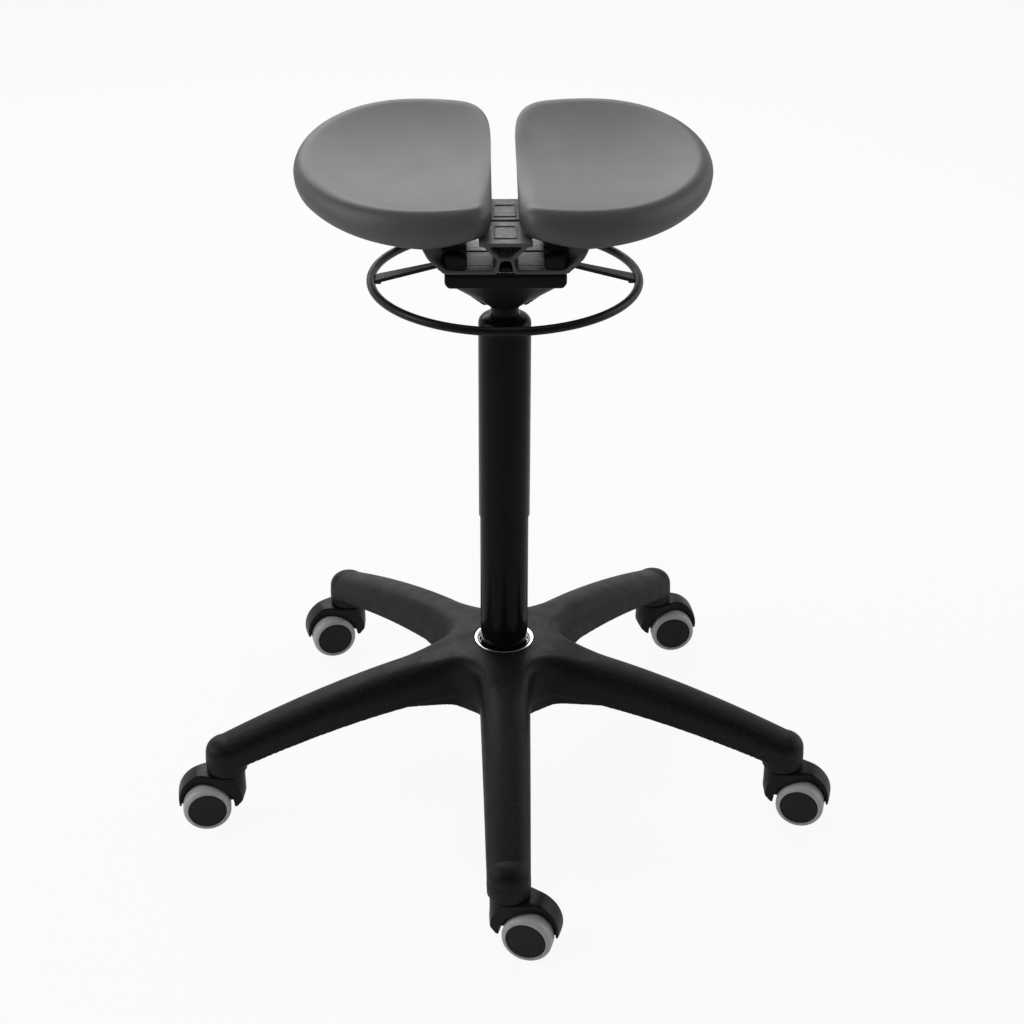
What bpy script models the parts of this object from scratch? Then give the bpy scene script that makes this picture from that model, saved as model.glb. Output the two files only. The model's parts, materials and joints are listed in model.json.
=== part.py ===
"""Work stool: a split saddle seat on a gas lift column, with a release ring
below the seat and a five-leg base on twin-wheel casters.

Metres, +Z up. The origin is on the floor under the column's axis, the front
leg points along -Y, and the lift is drawn fully raised.
"""
from math import cos, hypot, pi, radians, sin, tau

import bmesh
import bpy
from mathutils import Matrix, Vector

# Gaps left between neighbouring pieces
FIT_GAP = 0.0003
RUNNING_GAP = 0.0007

# Facets on round pieces
COLUMN_FACETS = 32
WHEEL_FACETS = 20
HOOD_FACETS = 20
BOSS_FACETS = 20
SMALL_FACETS = 12
HUB_FACETS = 30
HUB_WEB_FACETS = 25
RING_FACETS = 48
RING_ROD_FACETS = 8

# Casters
CASTER_NAMES = ("front", "front_right", "rear_right", "rear_left", "front_left")
CASTER_TURNS = (radians(-16.0), radians(-15.0), radians(5.0), radians(195.0), radians(187.0))
CASTER_CIRCLE_R = 0.306
CASTER_TRAIL = 0.0230
WHEEL_D = 0.050
WHEEL_OUTER_Y = 0.0240
WHEEL_INNER_Y = 0.0070
TREAD_DEPTH = 0.0054
TREAD_SHOULDER = 0.0045
HUB_RECESS = 0.0008
WEB_HALF = 0.0060
AXLE_D = 0.0060
AXLE_HALF_LENGTH = 0.0190
WHEEL_CLEARANCE = 0.0036
HOOD_R = 0.0318
HOOD_RIM_R = 0.0308
HOOD_HALF_WIDTH = 0.0168
HOOD_STEPS = 2
HOOD_BELOW_AXLE = 0.0010
AXLE_BOSS_R = 0.0080
NECK_D = 0.0372
STEM_D = 0.0110
STEM_IN_HOOD = 0.0115
STEM_IN_LEG = 0.0240
STEM_CHAMFER = 0.0014

# Star base
LEG_COUNT = 5
FRONT_LEG_ANGLE = radians(-90.0)
LEG_BOSS_R = 0.0212
LEG_BOSS_BOTTOM_Z = 0.0620
LEG_ROOT_R = 0.0400
LEG_ROOT_WIDTH = 0.0540
LEG_ROOT_TOP_Z = 0.1585
LEG_ROOT_BOTTOM_Z = 0.1180
LEG_ROOT_LOW_Z = 0.0990
LEG_FLARE_R = 0.1200
LEG_TIP_TOP_Z = 0.0985
LEG_TIP_BOTTOM_Z = 0.0695
LEG_TOP_POWER = 1.58
LEG_BOTTOM_POWER = 1.78
LEG_CROWN_POWER = 2.4
LEG_WALL = 0.0042
LEG_TIP_INSET = 0.0003
LEG_RIB = 0.0026
LEG_RIB_STATIONS = (0.40, 0.72)
LEG_RIB_RECESS = 0.0050
LEG_STATIONS = 3
CROWN_STEPS = 6
CROWN_SHARE = 0.6
HUB_TOP_Z = 0.1615
HUB_BOTTOM_Z = 0.0980
HUB_R = 0.0500
HUB_EDGE_R = 0.0080
HUB_WEB_R = 0.0660
HUB_WEB_TOP_Z = 0.1500
HUB_WEB_BOTTOM_Z = 0.1010
HUB_WEB_EDGE = 0.0060
HUB_MOUTH_R = 0.0316
HUB_MOUTH_DEPTH = 0.0110
SLEEVE_WALL = 0.0045
SLEEVE_FLANGE = 0.0077

# Column
STAND_TUBE_D = 0.0500
STAND_TUBE_WALL = 0.0018
STAND_TUBE_TOP_Z = 0.3720
SKIRT_Z = 0.1600
SKIRT_EDGE = 0.0015
TAPER_TOP_R = 0.0235
TAPER_BOTTOM_R = 0.0225
TUBE_BOTTOM_Z = 0.1000
TUBE_FLOOR = 0.0030
BUSH_LENGTH = 0.0700
BUSH_FLANGE = 0.0030
CYLINDER_D = 0.0280
CYLINDER_WALL = 0.0030
CYLINDER_BOTTOM_Z = 0.2520
CYLINDER_HEAD = 0.0600
CYLINDER_TAPER = 0.0350
CYLINDER_TIP_R = 0.0130
GLAND = 0.0080
ROD_D = 0.0100
ROD_COLLAR_R = 0.0080
ROD_COLLAR = 0.0030
ROD_TAIL = 0.0065
ROD_GROOVE_R = 0.0042
PISTON = 0.0120
PISTON_R = 0.0106
PISTON_ABOVE_GLAND = 0.0030
BEARING_R = 0.0110
BEARING = 0.0060
CLIP = 0.0020
CLIP_R = 0.0080
COVER_D = 0.0526
COVER_WALL = 0.0010
COVER_BOTTOM_Z = 0.3108
COVER_SHOULDER = 0.0095
COVER_LID = 0.0030

# Seat mechanism
HOUSING_HALF_X = 0.0583
HOUSING_HALF_Y = 0.0560
HOUSING_BOTTOM_Z = 0.5840
HOUSING_HEIGHT = 0.0120
HOUSING_CHAMFER = 0.0040
POCKET_HALF_X = 0.0455
POCKET_BELOW_BOX = 0.0022
POCKET_HALF_Y = 0.0330
FUNNEL_HALF_X = 0.0545
FUNNEL_HALF_Y = 0.0470
FUNNEL_OVERLAP = 0.0008
NECK_R = 0.0162
FUNNEL_HEIGHT = 0.0400
NECK_LENGTH = 0.0130
CYLINDER_BELOW_BOX = 0.0040
MOUNTING_PLATE = 0.0030
PLATE_HALF_X = 0.0560
PLATE_HALF_Y = 0.0555
PLATE_SEAM = 0.0020
PLATE_SEAM_DEPTH = 0.0015
BUTTON_D = 0.0070
BUTTON_RISE = 0.0054
BUTTON_CROWN = 0.0012
BUTTON_LENGTH = 0.0240

# Release ring and its lever
RING_OUTER_R = 0.1349
RING_ROD_D = 0.0085
RING_BELOW_BOX = 0.0128
SPOKE_THICK = 0.0035
SPOKE_ROOT_X = 0.0280
SPOKE_BEND_X = 0.0460
SPOKE_ROOT_HALF = 0.0040
SPOKE_TIP_HALF = 0.0090
SPOKE_SIDE_GAP = 0.0024
LEVER_PLATE = 0.0025
LEVER_HALF_X = 0.0440
LEVER_BACK_Y = 0.0080
LEVER_PIN_Y = -0.0240
LEVER_PIN_D = 0.0048
LEVER_LUG_R = 0.0048
LEVER_LUG_WIDTH = 0.0080
LEVER_SWING = radians(6.0)

# Seat carriers
CARRIER_HALF_Y = 0.0620
CARRIER_GAP = 0.0018
CARRIER_WALL = 0.0040
CARRIER_FLOOR_X = 0.0578
CARRIER_LEG_X = 0.0080
BOWL_BOTTOM_X = 0.0060
BOWL_BOTTOM_RISE = 0.0119
BOWL_SIDE_X = 0.0165
BOWL_SIDE_RISE = 0.0184
CENTRE_PLATE_HALF_X = 0.0250
CENTRE_PLATE_RISE = 0.0311
CENTRE_PLATE_THICK = 0.0037
WING_ROOT_X = 0.0800
WING_TIP_X = 0.1000
WING_HALF_Y = 0.0360
WING_RISE = 0.0248
WING_THICK = 0.0037
WINDOW_RIM = 0.0055
WINDOW_OUTER_X = 0.0370
MITRE_LIMIT = 0.4
MOUNT_X = 0.0495
MOUNT_Y = 0.0480
MOUNT_R = 0.0112
MOUNT_RISE = 0.0164
MOUNT_PAD_THICK = 0.0060
MOUNT_PAD_OUTER_X = 0.0530
MOUNT_PAD_INNER_Y = 0.0200
MOUNT_PAD_SETBACK = 0.0030
SCREW_D = 0.0060
SCREW_HEAD_R = 0.0046
SCREW_HEAD = 0.0045
SCREW_IN_HOUSING = 0.0080
SCREW_SOCKET_R = 0.0025
SCREW_SOCKET_DEPTH = 0.0028
MOUNT_COUNTERBORE = 0.0065

# Seat
SEAT_GAP_HALF = 0.0126
SHELL_THICK = 0.0045
SHELL_INSET = 0.0222
SHELL_BACK_Y = 0.1180
SHELL_BOSS_HALF_X = 0.0100
SHELL_BOSS_HALF_Y = 0.0120
SEAT_SCREW_X = 0.0910
SEAT_SCREW_Y = 0.0190
SEAT_SCREW_D = 0.0050
SEAT_SCREW_HEAD_R = 0.0042
SEAT_SCREW_HEAD = 0.0040
SEAT_SCREW_IN_SHELL = 0.0030
PAD_OUTLINE = (
    (SEAT_GAP_HALF, -0.0200), (SEAT_GAP_HALF, 0.0300), (SEAT_GAP_HALF, 0.0950),
    (SEAT_GAP_HALF, 0.1560), (0.0172, 0.1940), (0.0310, 0.2195), (0.0560, 0.2325),
    (0.0860, 0.2375), (0.1220, 0.2335), (0.1570, 0.2155), (0.1860, 0.1825),
    (0.2040, 0.1390), (0.2090, 0.0900), (0.2000, 0.0450), (0.1810, 0.0090),
    (0.1545, -0.0225), (0.1205, -0.0470), (0.0800, -0.0605), (0.0420, -0.0590),
    (0.0205, -0.0460),
)
PAD_OUTLINE_STEPS = 2
PAD_DISH_X = 0.1000
PAD_DISH_Y = 0.0300
PAD_DISH_THICK = 0.0165
PAD_BACK_RISE = 0.0280
PAD_BACK_REACH = 0.2000
PAD_BACK_POWER = 1.5
PAD_SIDE_RISE = 0.0050
PAD_SIDE_REACH = 0.0900
PAD_FRONT_RISE = 0.0060
PAD_FRONT_REACH = 0.0750
PAD_EDGE_HEIGHT = 0.0110
PAD_RIM_DROP = 0.0080
PAD_CLEARANCE = 0.0006
PAD_INNER_RIM_X = (0.0300, 0.0420)
PAD_RIM_RISE = 0.0380
PAD_DEPTH = 0.3000
PAD_FRONT_Y = -0.0600
PAD_ROLL = 0.0170
PAD_UNDER_ROLL = 0.0100
PAD_RIM_WIDTH = 0.0180
PAD_RECESS_INSET = 0.0210
PAD_UNDER_BACK_RISE = 0.0290
PAD_UNDER_BACK_Y = 0.2350
PAD_RIM_POWER = 1.2
PAD_SLOPE_LIMIT = 1.2
INSET_LIMIT = 0.6
PAD_UNDER_SHARES = (0.28, 0.0)
PAD_ROLL_SHARES = (0.07, 0.25, 0.55, 1.0)
PAD_TOP_SCALES = (0.72, 0.42, 0.16)

# Heights and radii that follow from the sizes above
WHEEL_R = WHEEL_D / 2
AXLE_Z = WHEEL_R
HOOD_TOP_Z = LEG_BOSS_BOTTOM_Z - RUNNING_GAP
HUB_DISC_R = WHEEL_R - TREAD_DEPTH
TUBE_R = STAND_TUBE_D / 2
CYLINDER_R = CYLINDER_D / 2
COVER_R = COVER_D / 2
HOUSING_TOP_Z = HOUSING_BOTTOM_Z + HOUSING_HEIGHT
POCKET_FLOOR_Z = HOUSING_BOTTOM_Z - POCKET_BELOW_BOX
NECK_TOP_Z = HOUSING_BOTTOM_Z - FUNNEL_HEIGHT
COVER_TOP_Z = NECK_TOP_Z - NECK_LENGTH
CYLINDER_TOP_Z = HOUSING_BOTTOM_Z - CYLINDER_BELOW_BOX
BUTTON_TOP_Z = CYLINDER_TOP_Z + BUTTON_RISE
RING_Z = HOUSING_BOTTOM_Z - RING_BELOW_BOX
PLATE_BOTTOM_Z = HOUSING_TOP_Z + FIT_GAP
PLATE_TOP_Z = PLATE_BOTTOM_Z + MOUNTING_PLATE
CARRIER_FLOOR_Z = PLATE_TOP_Z + FIT_GAP
BOWL_BOTTOM_Z = CARRIER_FLOOR_Z + BOWL_BOTTOM_RISE
BOWL_SIDE_Z = CARRIER_FLOOR_Z + BOWL_SIDE_RISE
CENTRE_PLATE_TOP_Z = CARRIER_FLOOR_Z + CENTRE_PLATE_RISE
WING_TOP_Z = CARRIER_FLOOR_Z + WING_RISE
MOUNT_TOP_Z = CARRIER_FLOOR_Z + MOUNT_RISE
SHELL_BOTTOM_Z = CENTRE_PLATE_TOP_Z + FIT_GAP
LEVER_PLATE_BOTTOM_Z = BUTTON_TOP_Z + FIT_GAP
LEVER_PLATE_TOP_Z = LEVER_PLATE_BOTTOM_Z + LEVER_PLATE
LEVER_PIN_Z = LEVER_PLATE_BOTTOM_Z + LEVER_LUG_R
SPOKE_ROOT_Z = LEVER_PLATE_TOP_Z + FIT_GAP + SPOKE_THICK
RING_R = RING_OUTER_R - RING_ROD_D / 2
SHELL_TOP_Z = SHELL_BOTTOM_Z + SHELL_THICK
WING_BOTTOM_Z = WING_TOP_Z - WING_THICK
PAD_DISH_Z = SHELL_TOP_Z + PAD_DISH_THICK
PAD_INNER_RIM_Z = SHELL_BOTTOM_Z + FIT_GAP
PAD_RIM_Z = SHELL_BOTTOM_Z - PAD_RIM_DROP
SCREW_R = SCREW_D / 2

BLACK_NYLON = ("black_nylon", (0.020, 0.020, 0.021), 0.55, 0.0)
BLACK_PAINT = ("black_paint", (0.014, 0.014, 0.013), 0.42, 0.0)
HUB_PLASTIC = ("hub_plastic", (0.018, 0.017, 0.015), 0.45, 0.0)
TREAD_RUBBER = ("tread_rubber", (0.300, 0.300, 0.290), 0.55, 0.0)
BRIGHT_STEEL = ("bright_steel", (0.620, 0.620, 0.610), 0.28, 1.0)
BUSH_PLASTIC = ("bush_plastic", (0.550, 0.550, 0.520), 0.50, 0.0)
RING_METAL = ("ring_metal", (0.080, 0.078, 0.074), 0.38, 1.0)
CARRIER_METAL = ("carrier_metal", (0.120, 0.125, 0.130), 0.48, 0.6)
SEAT_FOAM = ("seat_foam", (0.140, 0.145, 0.152), 0.62, 0.0)
SHELL_PLASTIC = ("shell_plastic", (0.025, 0.025, 0.026), 0.60, 0.0)
RUBBER = ("rubber", (0.012, 0.012, 0.012), 0.70, 0.0)


def clear_scene():
    for thing in list(bpy.data.objects):
        bpy.data.objects.remove(thing, do_unlink=True)


def new_material(node, look):
    kind, colour, roughness, metallic = look
    material = bpy.data.materials.new(node + "_" + kind)
    material.use_nodes = True
    shader = material.node_tree.nodes["Principled BSDF"]
    shader.inputs["Base Color"].default_value = (*colour, 1.0)
    shader.inputs["Roughness"].default_value = roughness
    shader.inputs["Metallic"].default_value = metallic
    return material


def add_pivot(name, at, turn=0.0):
    """Empty on a joint's axis, for the pieces that move about it."""
    pivot = bpy.data.objects.new(name, None)
    bpy.context.scene.collection.objects.link(pivot)
    pivot.location = at
    pivot.rotation_euler = (0, 0, turn)
    return pivot


def carry(pivot, names):
    """Parent finished pieces to a pivot, and leave them where they are."""
    for name in names:
        piece = bpy.data.objects[name]
        piece.parent = pivot
        piece.matrix_parent_inverse = Matrix.Translation(pivot.location).inverted()


def add_object(name, mesh_maker, look=None, at=(0, 0, 0), turn=0.0, smooth=None, pivot=None):
    """Turn a bmesh into a named object; without a look it is a hidden helper."""
    mesh = bpy.data.meshes.new(name)
    bmesh.ops.recalc_face_normals(mesh_maker, faces=mesh_maker.faces)
    mesh_maker.to_mesh(mesh)
    mesh_maker.free()
    thing = bpy.data.objects.new(name, mesh)
    bpy.context.scene.collection.objects.link(thing)
    thing.location = at
    thing.rotation_euler = (0, 0, turn)
    thing.parent = pivot
    if smooth is not None:
        mesh.shade_smooth()
        mesh.set_sharp_from_angle(angle=radians(smooth))
    if look is None:
        thing.hide_render = True
        thing.display_type = "WIRE"
    else:
        mesh.materials.append(new_material(name, look))
    return thing


def boolean(target, helper, operation):
    modifier = target.modifiers.new(operation.lower() + "_" + helper.name, "BOOLEAN")
    modifier.operation = operation
    modifier.solver = "EXACT"
    modifier.object = helper


def cut(target, helper):
    boolean(target, helper, "DIFFERENCE")


def join(target, helper):
    boolean(target, helper, "UNION")


def turned(profile, facets, closed=True, axis="Z", centre=(0, 0, 0), phase=0.0):
    """Revolve (radius, height) points; an open profile starts and ends on the axis."""
    shape = bmesh.new()
    rings = []
    for radius, height in profile:
        if radius <= 0.0:
            rings.append([shape.verts.new((0, 0, height))])
            continue
        ring = []
        for step in range(facets):
            angle = tau * (step + phase) / facets
            ring.append(shape.verts.new((radius * cos(angle), radius * sin(angle), height)))
        rings.append(ring)
    pairs = list(zip(rings, rings[1:]))
    if closed:
        pairs.append((rings[-1], rings[0]))
    for low, high in pairs:
        for step in range(facets):
            after = (step + 1) % facets
            corners = [low[step % len(low)], low[after % len(low)],
                       high[after % len(high)], high[step % len(high)]]
            corners = list(dict.fromkeys(corners))
            if len(corners) > 2:
                shape.faces.new(corners)
    if axis == "Y":
        bmesh.ops.rotate(shape, verts=shape.verts, matrix=Matrix.Rotation(-pi / 2, 3, "X"))
    if axis == "X":
        bmesh.ops.rotate(shape, verts=shape.verts, matrix=Matrix.Rotation(pi / 2, 3, "Y"))
    bmesh.ops.translate(shape, verts=shape.verts, vec=centre)
    return shape


def rod(radius, low, high, facets, axis="Z", centre=(0, 0, 0), phase=0.0):
    return turned([(0, low), (radius, low), (radius, high), (0, high)],
                  facets, closed=False, axis=axis, centre=centre, phase=phase)


def lofted(sections):
    """Skin closed loops of equal point counts and cap both ends."""
    shape = bmesh.new()
    rings = [[shape.verts.new(point) for point in section] for section in sections]
    count = len(rings[0])
    for low, high in zip(rings, rings[1:]):
        for step in range(count):
            after = (step + 1) % count
            shape.faces.new([low[step], low[after], high[after], high[step]])
    shape.faces.new(rings[0])
    shape.faces.new(rings[-1])
    return shape


def block(low, high):
    (x0, y0, z0), (x1, y1, z1) = low, high
    corners = [(x0, y0), (x1, y0), (x1, y1), (x0, y1)]
    return lofted([[(x, y, z) for x, y in corners] for z in (z0, z1)])


def front_prism(outline, y_low, y_high):
    """Extrude an (x, z) outline along Y."""
    return lofted([[(x, y, z) for x, z in outline] for y in (y_low, y_high)])


def joined(shapes):
    """Put several closed bmeshes into one."""
    whole = bmesh.new()
    for shape in shapes:
        piece = bpy.data.meshes.new("piece")
        shape.to_mesh(piece)
        shape.free()
        whole.from_mesh(piece)
        bpy.data.meshes.remove(piece)
    return whole


def arc(centre_r, centre_z, radius, start, end, steps):
    """Points of an arc in a turned profile, angles in degrees from +r."""
    points = []
    for step in range(steps + 1):
        angle = radians(start + (end - start) * step / steps)
        points.append((centre_r + radius * cos(angle), centre_z + radius * sin(angle)))
    return points


# Star base

def leg_share(radius):
    return (radius - LEG_ROOT_R) / (CASTER_CIRCLE_R - LEG_ROOT_R)


def leg_bottom(radius):
    """The arch's lower edge, which comes down again in a gusset at the hub."""
    if radius < LEG_FLARE_R:
        share = (radius - LEG_ROOT_R) / (LEG_FLARE_R - LEG_ROOT_R)
        return LEG_ROOT_LOW_Z + (leg_bottom(LEG_FLARE_R) - LEG_ROOT_LOW_Z) * share
    drop = (LEG_ROOT_BOTTOM_Z - LEG_TIP_BOTTOM_Z) * leg_share(radius) ** LEG_BOTTOM_POWER
    return LEG_ROOT_BOTTOM_Z - drop


def leg_heights(radius):
    share = max(leg_share(radius), 0.0)
    top = LEG_ROOT_TOP_Z - (LEG_ROOT_TOP_Z - LEG_TIP_TOP_Z) * share ** LEG_TOP_POWER
    return top, leg_bottom(radius)


def leg_width(radius):
    return LEG_ROOT_WIDTH + (2 * LEG_BOSS_R - LEG_ROOT_WIDTH) * leg_share(radius)


def crown(width, top, bottom):
    """Arch from the right foot over the crown to the left foot, as (y, z)."""
    rise = min(width / 2, CROWN_SHARE * (top - bottom))
    points = [(width / 2, bottom)]
    for step in range(CROWN_STEPS + 1):
        angle = pi * step / CROWN_STEPS
        side = 1 if cos(angle) > 0 else -1
        across = side * abs(cos(angle)) ** (2 / LEG_CROWN_POWER) * width / 2
        up = abs(sin(angle)) ** (2 / LEG_CROWN_POWER) * rise
        points.append((across, top - rise + up))
    points.append((-width / 2, bottom))
    return points


def leg_run(end_r, side_inset, top_inset, drop):
    """Skin the leg's arch from the root to end_r, moved in from the outer face."""
    sections = []
    stations = [LEG_ROOT_R, (LEG_ROOT_R + LEG_FLARE_R) / 2]
    for station in range(LEG_STATIONS + 1):
        stations.append(LEG_FLARE_R + (end_r - LEG_FLARE_R) * station / LEG_STATIONS)
    for radius in stations:
        top, bottom = leg_heights(radius)
        arch = crown(leg_width(radius) - 2 * side_inset, top - top_inset, bottom - drop)
        sections.append([(radius, y, z) for y, z in arch])
    return lofted(sections)


def leg_rib(share):
    radius = LEG_ROOT_R + (CASTER_CIRCLE_R - LEG_ROOT_R) * share
    top, bottom = leg_heights(radius + LEG_RIB)
    outline = crown(leg_width(radius) - LEG_WALL, top - LEG_WALL / 2, bottom + LEG_RIB_RECESS)
    return lofted([[(x, y, z) for y, z in outline] for x in (radius, radius + LEG_RIB)])


def leg_boss():
    arch = [(y, z) for y, z in crown(2 * LEG_BOSS_R, LEG_TIP_TOP_Z, LEG_BOSS_BOTTOM_Z) if y > 1e-6]
    profile = [(0, LEG_BOSS_BOTTOM_Z)] + arch + [(0, LEG_TIP_TOP_Z)]
    return turned(profile, BOSS_FACETS, closed=False, centre=(CASTER_CIRCLE_R, 0, 0))


def make_leg(index):
    turn = FRONT_LEG_ANGLE + tau * index / LEG_COUNT
    leg = add_object(f"leg_{index}", leg_run(CASTER_CIRCLE_R, LEG_TIP_INSET, LEG_TIP_INSET, 0.0),
                     turn=turn)
    cavity = leg_run(CASTER_CIRCLE_R - LEG_BOSS_R, LEG_WALL, LEG_WALL, LEG_WALL)
    cut(leg, add_object(f"leg_cavity_{index}", cavity, turn=turn))
    join(leg, add_object(f"leg_boss_{index}", leg_boss(), turn=turn))
    socket = rod(STEM_D / 2 + FIT_GAP, LEG_BOSS_BOTTOM_Z - STEM_IN_LEG,
                 LEG_BOSS_BOTTOM_Z + STEM_IN_LEG + FIT_GAP, SMALL_FACETS,
                 centre=(CASTER_CIRCLE_R, 0, 0), phase=0.5)
    cut(leg, add_object(f"stem_socket_{index}", socket, turn=turn))
    for number, share in enumerate(LEG_RIB_STATIONS):
        join(leg, add_object(f"leg_rib_{index}_{number}", leg_rib(share), turn=turn))
    return leg


def make_star_base():
    edge = arc(HUB_R - HUB_EDGE_R, HUB_TOP_Z - HUB_EDGE_R, HUB_EDGE_R, 0, 90, 4)
    hub_profile = [(0, HUB_BOTTOM_Z), (HUB_R, HUB_BOTTOM_Z)] + edge + [(0, HUB_TOP_Z)]
    hub = turned(hub_profile, HUB_FACETS, closed=False, phase=0.5)
    base = add_object("star_base", hub, BLACK_NYLON, smooth=40)
    web_profile = [(0, HUB_WEB_BOTTOM_Z), (HUB_WEB_R - HUB_WEB_EDGE / 2, HUB_WEB_BOTTOM_Z),
                   (HUB_WEB_R, HUB_WEB_BOTTOM_Z + HUB_WEB_EDGE),
                   (HUB_WEB_R - HUB_WEB_EDGE, HUB_WEB_TOP_Z - HUB_WEB_EDGE),
                   (0, HUB_TOP_Z - HUB_WEB_EDGE)]
    join(base, add_object("hub_web", turned(web_profile, HUB_WEB_FACETS, closed=False)))
    for index in range(LEG_COUNT):
        join(base, make_leg(index))
    bore = SLEEVE_WALL + TAPER_TOP_R + 2 * FIT_GAP
    mouth_z = HUB_TOP_Z - HUB_MOUTH_DEPTH
    below, above = HUB_BOTTOM_Z - HUB_R, HUB_TOP_Z + HUB_R
    bore_profile = [(0, below), (bore, below), (bore, mouth_z), (HUB_MOUTH_R, mouth_z),
                    (HUB_MOUTH_R, above), (0, above)]
    cut(base, add_object("hub_bore", turned(bore_profile, COLUMN_FACETS, closed=False)))


def make_base_sleeve():
    """Bright taper sleeve that holds the column in the hub."""
    flange_bottom = HUB_TOP_Z - HUB_MOUTH_DEPTH + FIT_GAP
    flange_top = flange_bottom + SLEEVE_FLANGE
    outer = SLEEVE_WALL + TAPER_TOP_R + FIT_GAP
    profile = [(TAPER_BOTTOM_R + FIT_GAP, HUB_BOTTOM_Z + FIT_GAP), (outer, HUB_BOTTOM_Z + FIT_GAP),
               (outer, flange_bottom), (HUB_MOUTH_R - FIT_GAP, flange_bottom),
               (HUB_MOUTH_R - FIT_GAP, flange_top), (TAPER_TOP_R + FIT_GAP, flange_top)]
    add_object("base_sleeve", turned(profile, COLUMN_FACETS), BRIGHT_STEEL, smooth=30)


# Column

def make_stand_tube():
    bore = TUBE_R - STAND_TUBE_WALL
    taper_bore = TAPER_BOTTOM_R - STAND_TUBE_WALL
    skirt_top = SKIRT_Z + SKIRT_EDGE
    skirt = arc(TUBE_R - SKIRT_EDGE, skirt_top, SKIRT_EDGE, -60, 0, 2)
    profile = [(ROD_D / 2 + FIT_GAP, TUBE_BOTTOM_Z), (TAPER_BOTTOM_R, TUBE_BOTTOM_Z),
               (TAPER_TOP_R, SKIRT_Z)] + skirt
    profile += [(TUBE_R, STAND_TUBE_TOP_Z), (bore, STAND_TUBE_TOP_Z),
               (bore, skirt_top + STAND_TUBE_WALL), (taper_bore, SKIRT_Z),
               (taper_bore, TUBE_BOTTOM_Z + TUBE_FLOOR),
               (ROD_D / 2 + FIT_GAP, TUBE_BOTTOM_Z + TUBE_FLOOR)]
    add_object("stand_tube", turned(profile, COLUMN_FACETS), BLACK_PAINT, smooth=40)


def make_guide_bush():
    bore = CYLINDER_R + FIT_GAP
    outer = TUBE_R - STAND_TUBE_WALL - FIT_GAP
    seat = STAND_TUBE_TOP_Z + FIT_GAP
    rim = TUBE_R - FIT_GAP
    profile = [(bore, STAND_TUBE_TOP_Z - BUSH_LENGTH), (outer, STAND_TUBE_TOP_Z - BUSH_LENGTH),
               (outer, seat), (rim, seat), (rim, seat + BUSH_FLANGE), (bore, seat + BUSH_FLANGE)]
    add_object("guide_bush", turned(profile, COLUMN_FACETS), BUSH_PLASTIC, smooth=30)


def make_piston_rod():
    plate_top = TUBE_BOTTOM_Z + TUBE_FLOOR
    collar_low = plate_top + BEARING + 2 * FIT_GAP
    collar_high = collar_low + ROD_COLLAR
    tail = TUBE_BOTTOM_Z - ROD_TAIL
    groove_low = TUBE_BOTTOM_Z - CLIP - 2 * FIT_GAP
    piston_low = CYLINDER_BOTTOM_Z + GLAND + PISTON_ABOVE_GLAND
    radius = ROD_D / 2
    profile = [(0, tail), (radius, tail), (radius, groove_low), (ROD_GROOVE_R, groove_low),
               (ROD_GROOVE_R, TUBE_BOTTOM_Z), (radius, TUBE_BOTTOM_Z), (radius, collar_low),
               (ROD_COLLAR_R, collar_low), (ROD_COLLAR_R, collar_high), (radius, collar_high),
               (radius, piston_low), (PISTON_R, piston_low), (PISTON_R, piston_low + PISTON),
               (0, piston_low + PISTON)]
    add_object("piston_rod", turned(profile, SMALL_FACETS, closed=False), BRIGHT_STEEL, smooth=30)
    bearing_low = plate_top + FIT_GAP
    bearing = [(radius + FIT_GAP, bearing_low), (BEARING_R, bearing_low),
               (BEARING_R, bearing_low + BEARING), (radius + FIT_GAP, bearing_low + BEARING)]
    add_object("thrust_bearing", turned(bearing, SMALL_FACETS), BRIGHT_STEEL, smooth=30)
    clip_high = TUBE_BOTTOM_Z - FIT_GAP
    clip = [(ROD_GROOVE_R + FIT_GAP, clip_high - CLIP), (CLIP_R, clip_high - CLIP),
            (CLIP_R, clip_high), (ROD_GROOVE_R + FIT_GAP, clip_high)]
    add_object("retaining_clip", turned(clip, SMALL_FACETS), BRIGHT_STEEL, smooth=30)


def make_gas_cylinder():
    bore = CYLINDER_R - CYLINDER_WALL
    bore_top = CYLINDER_TOP_Z - CYLINDER_HEAD
    gland_r = ROD_D / 2 + FIT_GAP
    valve_r = BUTTON_D / 2 + FIT_GAP
    profile = [(gland_r, CYLINDER_BOTTOM_Z), (CYLINDER_R, CYLINDER_BOTTOM_Z),
               (CYLINDER_R, CYLINDER_TOP_Z - CYLINDER_TAPER), (CYLINDER_TIP_R, CYLINDER_TOP_Z),
               (valve_r, CYLINDER_TOP_Z), (valve_r, bore_top), (bore, bore_top),
               (bore, CYLINDER_BOTTOM_Z + GLAND), (gland_r, CYLINDER_BOTTOM_Z + GLAND)]
    add_object("gas_cylinder", turned(profile, COLUMN_FACETS), BLACK_PAINT, smooth=30)
    button = [(0, BUTTON_TOP_Z - BUTTON_LENGTH), (BUTTON_D / 2, BUTTON_TOP_Z - BUTTON_LENGTH),
              (BUTTON_D / 2, BUTTON_TOP_Z - BUTTON_CROWN),
              (BUTTON_D / 4, BUTTON_TOP_Z - BUTTON_CROWN / 4), (0, BUTTON_TOP_Z)]
    add_object("release_button", turned(button, SMALL_FACETS, closed=False),
               BRIGHT_STEEL, smooth=50)


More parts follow.
